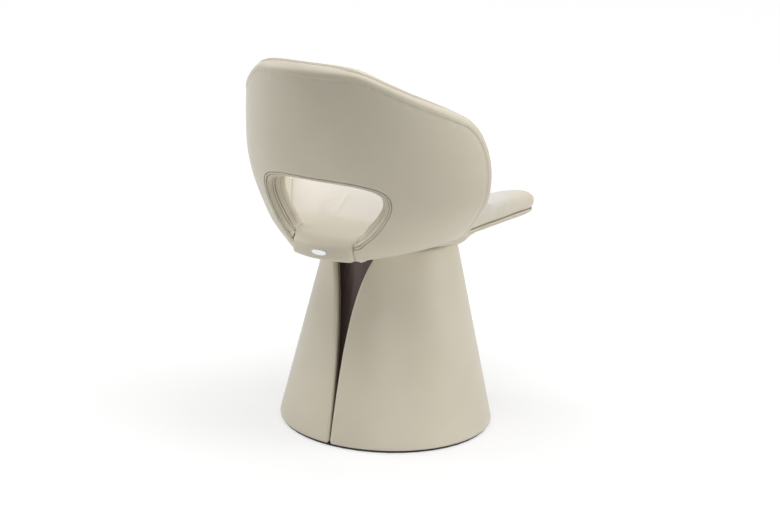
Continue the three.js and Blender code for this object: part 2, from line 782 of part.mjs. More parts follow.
// Space between the legs, filled by the tongue of the seat
function legCut() {
  const halfWidth = tongueHalfWidth + legGap;
  const top = tongueTopHeight + shellThickness;
  const bottom = shellFootHeight - shellThickness;
  return new THREE.BoxGeometry(2 * halfWidth, shellRearReach, top - bottom)
    .translate(0, shellCentreY + shellRearReach / 2 + shellThickness, (top + bottom) / 2);
}

// Seat: plywood board, padded underside, piping and cushion with its tongue
const cornerSteps = 4;
const heldSteps = 9;
const heldRows = [17, 20.4];     // rows of the outline between which the back holds the seat
const frontShares = [0, 0.35, 0.7];
const sideShares = [0.3, 0.65, 1];

// Half plan of the seat from the middle of its front edge to the tongue: free in front,
// then tucked behind the lower rim of the back
function seatHalfPlan(inset, heldInset = inset) {
  const frontY = -seatFrontReach + inset;
  const sideX = seatFrontHalfWidth - inset;
  const armX = seatArmHalfWidth - inset;
  const round = seatCornerRadius;
  const plan = frontShares.map((share) => ({ x: share * (sideX - round), y: frontY }));
  for (let i = 0; i <= cornerSteps; i += 1) {
    const angle = (Math.PI / 2) * (i / cornerSteps);
    plan.push({ x: sideX - round * (1 - Math.sin(angle)), y: frontY + round * (1 - Math.cos(angle)) });
  }
  sideShares.forEach((share) => plan.push({
    x: THREE.MathUtils.lerp(sideX, armX, share),
    y: THREE.MathUtils.lerp(frontY + round, armFrontY, share),
  }));
  for (let i = 0; i < heldSteps; i += 1) {
    const share = i / (heldSteps - 1);
    const tuck = THREE.MathUtils.lerp(seatTuck, seatRearTuck, share) + (i === 0 ? inset : heldInset);
    plan.push(behindRim(THREE.MathUtils.lerp(heldRows[0], heldRows[1], share), tuck));
  }
  plan[plan.length - 1].x = tongueHalfWidth - Math.max(heldInset, 0);
  return plan;
}

// Point in plan that lies a given distance inside the lower edge of the back
function behindRim(row, inset) {
  const [edge] = shellEdges(-row / (shellOutlineShares.length - 1));
  const point = shellPoint(edge.turn, edge.height);
  const normal = shellNormal(point).setZ(0).normalize();
  return { x: point.x - normal.x * inset, y: point.y - normal.y * inset };
}

// Closed ring from a half: the other half is its mirror image
function mirrored(half) {
  const other = half.slice(1, -1).reverse().map((p) => new THREE.Vector3(-p.x, p.y, p.z));
  return [...half, ...other];
}

// Height of the seat over a point of its plan: a crest at the sides, a dish between them
function seatTop(x, y) {
  const share = (y + seatFrontReach) / (tongueRearY + seatFrontReach);
  const crest = THREE.MathUtils.lerp(tongueTopHeight, seatCrestHeight, tableValue(crestShares, share));
  const depth = seatDish * tableValue(dishShares, share);
  const across = Math.min(Math.abs(x) / (seatFrontHalfWidth * tableValue(crestWidthShares, share)), 1);
  return crest - depth * (1 - across ** dishSharpness);
}

// Height of the crest, its half width and the depth of the dish, from the front to the tongue
const crestShares = [
  [0, 0.32], [0.03, 0.52], [0.085, 0.68], [0.17, 0.785], [0.27, 0.86], [0.36, 0.95], [0.46, 1.02], [0.55, 1.08],
  [0.605, 1.03], [0.645, 0.9], [0.69, 0.69], [0.74, 0.46], [0.795, 0.29], [0.855, 0.11],
  [0.91, 0.02], [1, 0],
];
const crestWidthShares = [
  [0, 0.9], [0.45, 0.89], [0.55, 0.93], [0.605, 0.98], [0.645, 0.96], [0.69, 0.9], [0.74, 0.8],
  [0.795, 0.7], [0.855, 0.55], [0.91, 0.42], [1, 0.34],
];
const dishShares = [
  [0, 0.9], [0.085, 1], [0.27, 0.85], [0.46, 0.9], [0.605, 0.85], [0.69, 0.65], [0.74, 0.43],
  [0.795, 0.28], [0.855, 0.14], [0.91, 0.03], [1, 0],
];
const tongueSideShares = [0.3, 0.62, 0.93];
const tongueRearShares = [0.88, 0.6, 0.3, 0];
const cushionBottom = boardTopHeight + seatingGap;

function tongueRear(sideX, rearInset) {
  const rearY = tongueRearY - rearInset;
  return tongueRearShares.map((share) => ({ x: share * sideX, y: rearY + tongueBow * (1 - share ** 2) }));
}

// One ring of the cushion: its inset where it is free, where the back holds it and at the
// rear of the tongue, and its rise from the board to the top
function cushionRing(inset, heldInset, rearInset, rise) {
  const plan = seatHalfPlan(inset, heldInset);
  const root = plan[plan.length - 1];
  const rearY = tongueRearY - rearInset;
  const side = tongueSideShares.map((share) => ({
    x: root.x, y: THREE.MathUtils.lerp(root.y, rearY, share),
  }));
  const half = [...plan, ...side, ...tongueRear(root.x, rearInset)];
  return mirrored(half.map(({ x, y }) => (
    new THREE.Vector3(x, y, THREE.MathUtils.lerp(cushionBottom, seatTop(x, y), rise))
  )));
}

// Ring of the part of the tongue that hangs down between the legs of the back
const hangingFrontShares = [0, 0.5, 1];
const hangingSideShares = [0.5, 0.9];

function hangingRing(rearInset, height) {
  const sideX = tongueHalfWidth - tongueSeam;
  const frontY = tongueRootY + seatingGap;
  const rearY = tongueRearY - rearInset;
  const front = hangingFrontShares.map((share) => ({ x: share * sideX, y: frontY }));
  const side = hangingSideShares.map((share) => ({
    x: sideX, y: THREE.MathUtils.lerp(frontY, rearY, share),
  }));
  const half = [...front, ...side, ...tongueRear(sideX, rearInset)];
  return mirrored(half.map(({ x, y }) => new THREE.Vector3(x, y, height)));
}

// A ring drawn in towards the spine of the seat
function drawnIn(ring, share, heightAt) {
  return ring.map((p) => {
    const spineY = THREE.MathUtils.clamp(p.y, -spineShare * seatFrontReach, spineShare * tongueRearY);
    const x = p.x * (1 - share);
    const y = THREE.MathUtils.lerp(p.y, spineY, share);
    return new THREE.Vector3(x, y, heightAt(x, y));
  });
}

// Rings of the cushion's side: shares of the rounding where the edge is free, of the tuck where
// the back holds it, of the inset of the tongue's crest, and of the rise from the board
const cushionFootShare = 0.22;
const cushionSideShares = [
  [-0.17, -0.1, 0.27, 0.3], [-0.12, -0.45, 0.33, 0.58], [0.12, -1, 0.49, 0.82], [0.5, -1, 0.71, 0.95],
  [1, -1, 1, 1],
];
const topShares = [0.1, 0.24, 0.45, 0.72];
const undersideShare = 0.5;

// Rings of the hanging part: shares of the tongue's roll and of its height below the cushion
const hangingShares = [[0.8, 0], [0.2, 0.13], [0, 0.5], [0.15, 0.78], [0.5, 0.91], [1.03, 1], [1.3, 1.04]];

function makeCushion(keptClear) {
  const bottom = cushionRing(0, 0, cushionFootShare * tongueCrestInset, 0);
  const side = cushionSideShares.map(([free, held, rear, rise]) => (
    cushionRing(free * seatRounding, held * seatTuck, rear * tongueCrestInset, rise)
  ));
  const crest = side[side.length - 1];
  const top = topShares.map((share) => drawnIn(crest, share, seatTop));
  const underside = drawnIn(bottom, undersideShare, () => cushionBottom);
  const hanging = hangingShares.map(([roll, rise]) => (
    hangingRing(roll * tongueRoll, THREE.MathUtils.lerp(tongueFootHeight, cushionBottom, rise))
  ));
  return cut(join(ringLoft([underside, bottom, ...side, ...top]), ringLoft(hanging)), keptClear);
}

function makeBoard(keptClear) {
  const rearY = tongueRootY - seatingGap - boardHeldInset;
  const root = { x: tongueHalfWidth - boardHeldInset, y: rearY };
  const half = [...seatHalfPlan(boardInset, boardHeldInset), root];
  const corners = [...half, ...half.slice(1).reverse().map(({ x, y }) => ({ x: -x, y }))];
  const outline = new THREE.Shape(corners.map(({ x, y }) => new THREE.Vector2(x, y)));
  const holes = boltHoles(plateBoltCount, plateBoltCircle, 0, boardBottom, boardTopHeight);
  return cut(prism(outline, boardBottom, boardThickness), keptClear, ...holes);
}

// Ring of the underside pad at its free and held insets, or on a circle round the plate
const underRearShares = [1, 0.5, 0];

function underRing(inset, heldInset, height, radius) {
  const rearY = tongueRootY - seatingGap - heldInset;
  const plan = seatHalfPlan(inset, heldInset);
  const rear = underRearShares.map((share) => ({ x: share * (tongueHalfWidth - heldInset), y: rearY }));
  const half = [...plan, ...rear].map(({ x, y }) => {
    const scale = radius ? radius / Math.hypot(x, y) : 1;
    return new THREE.Vector3(x * scale, y * scale, height);
  });
  return mirrored(half);
}

const pipingHeight = boardTopHeight - pipingRadius;
const lipTop = pipingHeight - pipingRadius - seatingGap;
const padTop = boardBottom - seatingGap;

// Sloping edge of the underside: shares of its width, free and held, and of its rise
const underSideShares = [
  [0.05, 0, 0.9], [0.13, 0.01, 0.78], [0.32, 0.024, 0.586], [0.65, 0.22, 0.293], [1, 0.65, 0.065],
];

// Pad with a lip that stands round the edge of the board up to its top
function makeUnderPad(keptClear) {
  const wall = boardInset - seatingGap;
  const heldWall = boardHeldInset - seatingGap;
  const ledge = pipingInset + pipingRadius + seatingGap;
  const rings = [
    underRing(0, 0, padTop, underOpeningRadius), underRing(wall, heldWall, padTop),
    underRing(wall, heldWall, boardTopHeight), underRing(ledge, ledge, boardTopHeight),
    underRing(ledge, ledge, lipTop), underRing(0, 0, lipTop),
    ...underSideShares.map(([free, held, rise]) => {
      const height = THREE.MathUtils.lerp(underFlatHeight, lipTop, rise);
      return underRing(free * underBowlWidth, held * underBowlWidth, height);
    }),
    underRing(0, 0, underFlatHeight, underOpeningRadius),
  ];
  return cut(loopLoft(rings), keptClear, ...boltPassages(), ...nutSpaces());
}

function makePiping() {
  const half = seatHalfPlan(pipingInset).slice(0, frontShares.length + cornerSteps + 1 + sideShares.length);
  const path = [...half.slice(1).reverse().map(({ x, y }) => ({ x: -x, y })), ...half];
  const curve = new THREE.CatmullRomCurve3(path.map(({ x, y }) => new THREE.Vector3(x, y, pipingHeight)));
  const round = new THREE.Shape(around(pipingSides, pipingRadius, 0, (angle, x, y) => new THREE.Vector2(x, y)));
  return new THREE.ExtrudeGeometry(round, { extrudePath: curve, steps: pipingSteps, bevelEnabled: false });
}

// Cross bolts that hold the core of the back to the seat board, from inside the upholstery
function backBoltPlaces() {
  return [-1, 1].flatMap((side) => backBoltTurns.map((degrees) => {
    const turn = side * THREE.MathUtils.degToRad(degrees);
    const point = shellPoint(turn, backBoltHeight);
    const normal = shellNormal(point);
    return { point, angle: Math.atan2(normal.y, normal.x), level: Math.hypot(normal.x, normal.y) };
  }));
}

// Cylinder along a bolt's axis between two distances inside the outer face of the back
function alongBolt({ point, angle }, radius, from, to) {
  const middle = (from + to) / 2;
  return new THREE.CylinderGeometry(radius, radius, to - from, boltSides)
    .rotateZ(Math.PI / 2).translate(-middle, 0, 0).rotateZ(angle).translate(point.x, point.y, point.z);
}

function headDepth({ level }) {
  return coreOuterDepth / level + backBoltSink;
}

function nutDepth({ level }) {
  return (shellThickness + seatClearance) / level + barrelNutSetback;
}

function upright({ point, angle }, depth, radius, bottom, top) {
  return disc(radius, bottom, top, boltSides)
    .translate(point.x - depth * Math.cos(angle), point.y - depth * Math.sin(angle), 0);
}

const boltPlaces = backBoltPlaces();

function boltPassages() {
  return boltPlaces.map((place) => (
    alongBolt(place, backBoltRadius + boltClearance, headDepth(place), nutDepth(place) + barrelNutSetback)
  ));
}

function makeBackBolts() {
  return boltPlaces.map((place) => {
    const start = headDepth(place);
    const head = alongBolt(place, backBoltHeadRadius, start, start + backBoltHeadHeight);
    const end = nutDepth(place) + barrelNutRadius + cutOverrun;
    return join(head, alongBolt(place, backBoltRadius, start + backBoltHeadHeight / 2, end));
  });
}

function makeBarrelNuts() {
  const passages = boltPassages();
  return boltPlaces.map((place, i) => cut(
    upright(place, nutDepth(place), barrelNutRadius, boardBottom + seatingGap, boardTopHeight - seatingGap),
    passages[i],
  ));
}

function headPockets() {
  return boltPlaces.map((place) => {
    const end = headDepth(place) + backBoltHeadHeight + seatingGap;
    return alongBolt(place, backBoltHeadRadius + boltClearance, 0, end);
  });
}

function nutPockets() {
  const radius = barrelNutRadius + boltClearance;
  return boltPlaces.map((place) => (
    upright(place, nutDepth(place), radius, boardBottom - cutOverrun, boardTopHeight + cutOverrun)
  ));
}

// Room for the nuts inside the lip of the underside pad
function nutSpaces() {
  return boltPlaces.map((place) => (
    upright(place, nutDepth(place), barrelNutRadius + boltClearance, boardBottom, boardTopHeight + cutOverrun)
  ));
}

// Space of the back shell that the seat keeps clear of
const keptClear = cut(shellLayer(keptClearSection), legCut());
const seatBoard = cut(makeBoard(keptClear), ...boltPassages(), ...nutPockets());
addPiece(seat, 'seat_board', seatBoard, plywood);
addPiece(seat, 'underside_pad', makeUnderPad(keptClear), leather);
addPiece(seat, 'seat_piping', makePiping(), leather);
addPiece(seat, 'seat_cushion', makeCushion(keptClear), leather);

const padOuter = cut(shellLayer(padSection), legCut());
const padInner = cut(shellLayer((span) => mirroredSection(padSection(span))), legCut(), ...boltPassages());
const coreShell = cut(shellLayer(coreSection), legCut(), ...headPockets(), ...boltPassages());
addPiece(seat, 'back_outer_pad', padOuter, leather);
addPiece(seat, 'back_core', coreShell, mouldedBoard);
addPiece(seat, 'back_inner_pad', padInner, leather);
addCopies(seat, 'back_bolt', makeBackBolts(), steel);
addCopies(seat, 'barrel_nut', makeBarrelNuts(), steel);

export default chair;
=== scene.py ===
import json
import math

import bmesh
import bpy
import numpy as np
from mathutils import Matrix, Vector


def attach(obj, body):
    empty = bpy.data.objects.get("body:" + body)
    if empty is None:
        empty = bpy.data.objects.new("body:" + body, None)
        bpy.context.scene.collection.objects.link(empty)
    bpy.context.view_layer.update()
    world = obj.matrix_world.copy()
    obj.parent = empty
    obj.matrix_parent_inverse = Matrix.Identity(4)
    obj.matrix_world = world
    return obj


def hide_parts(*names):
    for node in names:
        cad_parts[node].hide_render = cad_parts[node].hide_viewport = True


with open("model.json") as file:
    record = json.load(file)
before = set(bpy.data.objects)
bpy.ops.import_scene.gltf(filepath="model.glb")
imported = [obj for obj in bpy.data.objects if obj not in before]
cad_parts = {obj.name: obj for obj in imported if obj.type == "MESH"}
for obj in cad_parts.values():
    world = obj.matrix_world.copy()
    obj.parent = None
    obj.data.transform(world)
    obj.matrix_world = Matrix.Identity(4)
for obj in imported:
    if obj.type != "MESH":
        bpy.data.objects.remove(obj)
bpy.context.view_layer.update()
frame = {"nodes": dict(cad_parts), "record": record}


# Camera: it stands behind the chair and to its right, half a metre higher than the back, with
# a long lens. The small roll is the tilt of the picture's frame.
camera_place = Vector((-1.7546, 2.98407, 1.28492))
camera_turn = math.radians(30.5)
camera_pitch = math.radians(15.0887)
camera_roll = math.radians(2.08)
level_ahead = Vector((math.sin(camera_turn), -math.cos(camera_turn), 0))
level_right = Vector((-math.cos(camera_turn), -math.sin(camera_turn), 0))
ahead = level_ahead * math.cos(camera_pitch) - Vector((0, 0, math.sin(camera_pitch)))
over = level_ahead * math.sin(camera_pitch) + Vector((0, 0, math.cos(camera_pitch)))
right = level_right * math.cos(camera_roll) + over * math.sin(camera_roll)
top = over * math.cos(camera_roll) - level_right * math.sin(camera_roll)
camera_lens = bpy.data.cameras.new("camera")
camera_lens.lens = 80
camera_lens.sensor_width = 36
camera = bpy.data.objects.new("camera", camera_lens)
bpy.context.collection.objects.link(camera)
turned_camera = Matrix((right, top, -ahead)).transposed().to_4x4()
camera.matrix_world = Matrix.Translation(camera_place) @ turned_camera
bpy.context.scene.camera = camera
bpy.context.scene.view_settings.view_transform = "Standard"


# Finishes are node materials. Arithmetic on a value adds Math nodes to the tree it is in, and
# any other node comes from the node method.
class Value:
    def __init__(self, tree, socket):
        self.tree = tree
        self.socket = socket

    def other(self, name):
        """Another output of the node that this value comes from."""
        return Value(self.tree, self.socket.node.outputs[name])

    def maths(self, operation, *others):
        node = self.tree.nodes.new("ShaderNodeMath")
        node.operation = operation
        for place, other in zip(node.inputs, (self, *others)):
            if isinstance(other, Value):
                self.tree.links.new(other.socket, place)
            else:
                place.default_value = other
        return Value(self.tree, node.outputs[0])

    def reflected(self, operation, other):
        node = self.tree.nodes.new("ShaderNodeMath")
        node.operation = operation
        node.inputs[0].default_value = other
        self.tree.links.new(self.socket, node.inputs[1])
        return Value(self.tree, node.outputs[0])

    def __add__(self, other):
        return self.maths("ADD", other)

    def __radd__(self, other):
        return self.maths("ADD", other)

    def __sub__(self, other):
        return self.maths("SUBTRACT", other)

    def __rsub__(self, other):
        return self.reflected("SUBTRACT", other)

    def __mul__(self, other):
        return self.maths("MULTIPLY", other)

    def __rmul__(self, other):
        return self.maths("MULTIPLY", other)

    def __truediv__(self, other):
        return self.maths("DIVIDE", other)

    def __abs__(self):
        return self.maths("ABSOLUTE")

    def kept(self, low=0, high=1):
        return self.maths("MAXIMUM", low).maths("MINIMUM", high)


class NodeTree:
    def __init__(self, tree):
        self.tree = tree

    def node(self, kind, settings=None, inputs=None, output=0):
        node = self.tree.nodes.new(kind)
        for name, value in (settings or {}).items():
            setattr(node, name, value)
        self.fill(node, inputs or {})
        return Value(self.tree, node.outputs[output])

    def fill(self, node, inputs):
        """Links or sets a node's inputs, each given by its name or its number."""
        for name, value in inputs.items():
            place = node.inputs[name]
            if isinstance(value, Value):
                self.tree.links.new(value.socket, place)
            elif place.type == "RGBA":
                place.default_value = (*value, 1)
            else:
                place.default_value = value

    def blend(self, share, first, second):
        settings = {"data_type": "RGBA", "blend_type": "MIX"}
        return self.node("ShaderNodeMix", settings, {0: share, 6: first, 7: second}, output=2)


class Finish(NodeTree):
    def __init__(self, name):
        self.material = bpy.data.materials.new(name)
        self.material.use_nodes = True
        super().__init__(self.material.node_tree)
        self.surface = self.tree.nodes["Principled BSDF"]
        self.where = self.node("ShaderNodeTexCoord", output="Object")

    def shows(self, **inputs):
        self.fill(self.surface, {name.replace("_", " "): value for name, value in inputs.items()})
        return self.material


# Studio: a pale floor without an edge in sight, a white surround that the camera and
# reflections see, and soft lamps above, at both sides and, a weak one, low behind the chair.
floor_size, floor_level = 40, -0.0003
floor_fade_start, floor_fade_run = 0.4, 2.4
floor_glow_near, floor_glow_far, floor_glow_below = (0.55,) * 3, (0.97,) * 3, 0.16
surround_light = 0.035


def seen_directly(nodes):
    """1 for what the camera sees, straight or in a reflection or through glass, and else 0."""
    seen = nodes.node("ShaderNodeLightPath", output="Is Camera Ray")
    return (seen + seen.other("Is Glossy Ray") + seen.other("Is Transmission Ray")).kept()


bpy.ops.object.select_all(action="DESELECT")
bpy.ops.mesh.primitive_plane_add(size=floor_size, location=(0, 0, floor_level))
floor = bpy.context.object
floor.name = "studio_floor"
floor.data.transform(Matrix.Translation(floor.location))
floor.location = (0, 0, 0)
pale = Finish("pale_floor")
length = {"operation": "LENGTH"}
from_middle = pale.node("ShaderNodeVectorMath", length, {"Vector": pale.where}, output="Value")
faded = ((from_middle - floor_fade_start) / floor_fade_run).kept()
glow_colour = pale.blend(faded, floor_glow_near, floor_glow_far)
glow = pale.node("ShaderNodeEmission", inputs={"Color": glow_colour, "Strength": 1})
shaded = pale.node("ShaderNodeBsdfDiffuse", inputs={"Color": (0.5, 0.5, 0.5)})
shown = pale.node("ShaderNodeAddShader", inputs={0: glow, 1: shaded})
bounce = pale.node("ShaderNodeBsdfDiffuse", inputs={"Color": (0.8, 0.8, 0.79)})
below = pale.node("ShaderNodeEmission", inputs={"Color": (1, 1, 1), "Strength": floor_glow_below})
plain = pale.node("ShaderNodeAddShader", inputs={0: bounce, 1: below})
floor_look = pale.node("ShaderNodeMixShader", inputs={0: seen_directly(pale), 1: plain, 2: shown})
pale.fill(pale.tree.nodes["Material Output"], {"Surface": floor_look})
floor.data.materials.append(pale.material)

world = bpy.data.worlds.new("studio")
world.use_nodes = True
bpy.context.scene.world = world
surround = NodeTree(world.node_tree)
white = surround.node("ShaderNodeBackground", inputs={"Color": (1, 1, 1), "Strength": 1})
first_node = surround.tree.nodes["Background"]
surround.fill(first_node, {"Color": (1, 1, 1), "Strength": surround_light})
grey = Value(surround.tree, first_node.outputs[0])
by_ray = {0: seen_directly(surround), 1: grey, 2: white}
surround_look = surround.node("ShaderNodeMixShader", inputs=by_ray)
surround.fill(surround.tree.nodes["World Output"], {"Surface": surround_look})


def soft_lamp(name, place, target, width, height, power, spread=math.pi):
    lamp = bpy.data.lights.new(name, "AREA")
    lamp.shape = "RECTANGLE"
    lamp.size = width
    lamp.size_y = height
    lamp.energy = power
    lamp.spread = spread
    holder = bpy.data.objects.new(name, lamp)
    bpy.context.collection.objects.link(holder)
    holder.location = place
    holder.rotation_euler = (Vector(target) - Vector(place)).to_track_quat("-Z", "Y").to_euler()


soft_lamp("left_lamp", (2.5, 0.9, 1.5), (0, 0.1, 0.5), 1.6, 2.0, 27)
soft_lamp("right_lamp", (-2.3, -1.0, 1.5), (0, 0.1, 0.5), 1.6, 2.0, 33)
soft_lamp("top_lamp", (-0.15, 0.25, 2.6), (0, 0.1, 0.4), 2.6, 2.6, 55)
soft_lamp("low_lamp", (-1.1, 1.9, 0.55), (-0.3, 0.6, 0.0), 1.2, 0.5, 1.25, math.radians(60))


# Leather of the back, seat and pedestal: smooth greige hide with a fine pebbled grain, faint
# creases and a soft sheen. Painted shade darkens it along the seams and in the channels beside the
# welts, and a painted sheen makes it paler on top of the seat.
leather_light = (0.67, 0.615, 0.495)
leather_deep = (0.585, 0.53, 0.415)
# Painted shade in the seams: its dark brown and how far from a seam it reaches.
seam_shade_brown = (0.10, 0.08, 0.06)
seam_shade_reach = 0.0016
# Painted sheen on top of the seat: its paler tones, and where it starts and fades at the sides and
# the rear.
painted_sheen_tones = ((0.60, 0.56, 0.495), (0.685, 0.645, 0.58))
painted_sheen_run, painted_sheen_side_start, painted_sheen_side_run, painted_sheen_side_lift = 0.012, 0.17, 0.02, 0.022
painted_sheen_rear, painted_sheen_rear_run = 0.232, 0.05


def leather_finish(name, light=leather_light, deep=leather_deep, with_seam_shade=False, painted_sheen_above=None):
    hide = Finish(name)
    where = hide.where
    cloud = hide.node("ShaderNodeTexNoise", inputs={"Vector": where, "Scale": 5.0, "Detail": 3.0})
    speck = hide.node("ShaderNodeTexNoise", inputs={"Vector": where, "Scale": 420.0, "Detail": 2.0})
    pebbles = {"Vector": where, "Scale": 620.0}
    pebble = hide.node("ShaderNodeTexVoronoi", {"feature": "SMOOTH_F1"}, pebbles)
    wrinkle = {"Vector": where, "Scale": 38.0, "Detail": 5.0, "Distortion": 1.2}
    crease = hide.node("ShaderNodeTexNoise", inputs=wrinkle)
    tone = ((cloud - 0.5) * 1.6 + (speck - 0.5) * 0.5 + 0.5).kept()
    colour = hide.blend(tone, deep, light)
    # Painted sheen: the seat's top, above a height that rises towards its sides and in front of the
    # rear, takes paler tones.
    if painted_sheen_above is not None:
        sideward = hide.node("ShaderNodeSeparateXYZ", inputs={"Vector": where}, output="X")
        at_side = ((abs(sideward) - painted_sheen_side_start) / painted_sheen_side_run).kept() * painted_sheen_side_lift
        high = ((sideward.other("Z") - at_side - painted_sheen_above) / painted_sheen_run).kept()
        on_seat = ((painted_sheen_rear - sideward.other("Y")) / painted_sheen_rear_run).kept()
        colour = hide.blend(high * on_seat, colour, hide.blend(tone, *painted_sheen_tones))
    roughness = (speck - 0.5) * 0.2 + (cloud - 0.5) * 0.12 + 0.43
    height = pebble * 0.7 + speck * 0.35 + crease * 0.5
    # Painted shade: near a seam the leather turns towards a dark brown and grows rougher.
    if with_seam_shade:
        across = hide.node("ShaderNodeAttribute", {"attribute_name": "seam_shade_distance"}, output=2)
        seam_shade_share = (1 - abs(across) / seam_shade_reach).kept()
        colour = hide.blend(seam_shade_share * 0.85, colour, seam_shade_brown)
        roughness = roughness + seam_shade_share * 0.2
    relief = {"Height": height, "Strength": 0.22, "Distance": 0.0006}
    bump = hide.node("ShaderNodeBump", inputs=relief)
    hide.surface.inputs["Sheen Weight"].default_value = 0.22
    hide.surface.inputs["Sheen Roughness"].default_value = 0.4
    hide.surface.inputs["IOR"].default_value = 1.5
    return hide.shows(Base_Color=colour, Roughness=roughness.kept(), Normal=bump)


# Leather with painted shade along its seams.
seam_shaded_leather = leather_finish("greige_leather_seam_shaded", with_seam_shade=True)
plain_leather = leather_finish("greige_leather")
# Seat leather with a painted sheen on its top.
seat_sheen_leather = leather_finish("greige_leather_seat_sheen", painted_sheen_above=0.449)


def place_mesh(name, points, faces):
    mesh = bpy.data.meshes.new(name)
    mesh.from_pydata([tuple(p) for p in points], [], faces)
    body = bpy.data.objects.new(name, mesh)
    bpy.context.collection.objects.link(body)
    shape = bmesh.new()
    shape.from_mesh(mesh)
    bmesh.ops.recalc_face_normals(shape, faces=shape.faces)
    shape.to_mesh(mesh)
    shape.free()
    for face in mesh.polygons:
        face.use_smooth = True
    return body


def ring_faces(rings, count, start=0):
    """The faces between rings of points that lie one after another."""
    faces = []
    for r in range(rings - 1):
        here, there = start + r * count, start + (r + 1) * count
        for i in range(count):
            j = (i + 1) % count
            faces.append((here + i, here + j, there + j, there + i))
    return faces


def capped_faces(rings, count, start=0):
    """The same with a face on the first ring and on the last."""
    ends = (start, start + (rings - 1) * count)
    return ring_faces(rings, count, start) + [tuple(end + i for i in range(count)) for end in ends]


# Cover of the pedestal: one padded leather wrap, 13 mm thick, laid round the cone and open at
# the back in a slit that narrows to the floor. Its edges are rolled and its foot is turned under.
cone_foot, cone_top = 0.005, 0.396
cone_foot_radius, cone_top_radius = 0.224, 0.133
wrap_thickness = 0.013
slit_top_half, slit_narrowing, slit_lean = 0.061, 0.105, 0.017
wrap_around, wrap_roll, wrap_steps = 168, 10, 70


def cone_radius(height):
    share = (height - cone_foot) / (cone_top - cone_foot)
    return cone_foot_radius + (cone_top_radius - cone_foot_radius) * share


def wrap_ring(height, thin):
    outer = cone_radius(height) - thin
    thickness = wrap_thickness - 2 * thin
    round_edge = thickness / 2
    middle = outer - round_edge
    half = slit_top_half * math.exp((height - cone_top) / slit_narrowing)
    half_turn = (half + wrap_thickness / 2) / middle
    start = math.pi / 2 - slit_lean * (height / cone_top) / middle + half_turn
    sweep = 2 * math.pi - 2 * half_turn
    ring = []
    for i in range(wrap_around + 1):
        ring.append((start + sweep * i / wrap_around, outer))
    for i in range(1, wrap_roll):
        roll = math.pi * i / wrap_roll
        past = round_edge * math.sin(roll) / middle
        ring.append((start + sweep + past, middle + round_edge * math.cos(roll)))
    for i in range(wrap_around, -1, -1):
        ring.append((start + sweep * i / wrap_around, outer - thickness))
    for i in range(1, wrap_roll):
        roll = math.pi * i / wrap_roll
        past = round_edge * math.sin(roll) / middle
        ring.append((start - past, middle - round_edge * math.cos(roll)))
    return [(radius * math.cos(angle), radius * math.sin(angle), height) for angle, radius in ring]


wrap_levels = [(0.0, 0.0055), (0.0008, 0.0032), (0.0022, 0.0013), (0.0045, 0.0003), (0.008, 0.0)]
wrap_edge = wrap_levels[-1][0]
wrap_plain = cone_top - cone_foot - 2 * wrap_edge
wrap_heights = [(cone_foot + rise, thin) for rise, thin in wrap_levels]
wrap_heights += [
    (cone_foot + wrap_edge + wrap_plain * i / wrap_steps, 0) for i in range(1, wrap_steps)
]
wrap_heights += [(cone_top - rise, thin) for rise, thin in reversed(wrap_levels)]
wrap_rings = [wrap_ring(height, thin) for height, thin in wrap_heights]
wrap_count = len(wrap_rings[0])
wrap_faces = ring_faces(len(wrap_rings), wrap_count)
inner_start = 2 * wrap_around + wrap_roll
for first in (0, (len(wrap_rings) - 1) * wrap_count):
    inner = first + inner_start
    for i in range(wrap_around):
        wrap_faces.append((first + i, first + i + 1, inner - i - 1, inner - i))
    wrap_faces.append(tuple(first + wrap_around + i for i in range(wrap_roll + 1)))
    wrap_faces.append(tuple(first + (inner_start + i) % wrap_count for i in range(wrap_roll + 1)))
cone_leather = place_mesh("cone_leather", [p for ring in wrap_rings for p in ring], wrap_faces)
cone_leather.data.materials.append(plain_leather)
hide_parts("skirt_leather")
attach(cone_leather, "base")


# Back: a horseshoe shell covered in padded leather. Its outside, rim, window reveal and inside
# are panels sewn together. The rim is a soft roll, and below it the hide puckers a little.
shell_foot, shell_height = 0.400, 0.382
shell_middle, shell_half_width, shell_reach = 0.025, 0.288, 0.340
shell_thickness, rim_radius, window_round = 0.040, 0.020, 0.010
tongue_half_width, leg_gap = 0.0697, 0.0004
width_shares = [
    (0, 0.474), (0.016, 0.523), (0.055, 0.625), (0.105, 0.722), (0.144, 0.773), (0.236, 0.872),
    (0.327, 0.957), (0.432, 0.996), (0.524, 1), (0.668, 0.981), (0.785, 0.955), (0.916, 0.92),
    (1.03, 0.872),
]
reach_shares = [
    (0, 0.735), (0.094, 0.741), (0.236, 0.771), (0.393, 0.806), (0.524, 0.85), (0.654, 0.891),
    (0.785, 0.932), (1.03, 1.008),
]
squareness_shares = [(0, 2.2), (0.13, 2.2), (0.236, 2.1), (0.34, 2), (1, 2)]
outline_shares = [
    (0, 1.014, 0, 0.414), (0.12, 1.014, 0.06, 0.414), (0.22, 1.011, 0.115, 0.412),
    (0.285, 1.003, 0.16, 0.409), (0.335, 0.985, 0.2, 0.404), (0.4, 0.95, 0.235, 0.397),
    (0.5, 0.895, 0.27, 0.388), (0.6, 0.843, 0.298, 0.375), (0.69, 0.795, 0.318, 0.358),
    (0.762, 0.745, 0.331, 0.337), (0.81, 0.66, 0.338, 0.31),
    (0.835, 0.555, 0.338, 0.283), (0.845, 0.45, 0.333, 0.255), (0.858, 0.355, 0.323, 0.226),
    (0.885, 0.27, 0.309, 0.198), (0.915, 0.195, 0.293, 0.172), (0.93, 0.135, 0.277, 0.15),
    (0.94, 0.095, 0.26, 0.133), (0.83, 0.07, 0.245, 0.12), (0.67, 0.04, 0.232, 0.109),
    (0.47, 0.006, 0.22, 0.101), (0.27, -0.028, 0.188, 0.094),
]
quarter = math.pi / 2


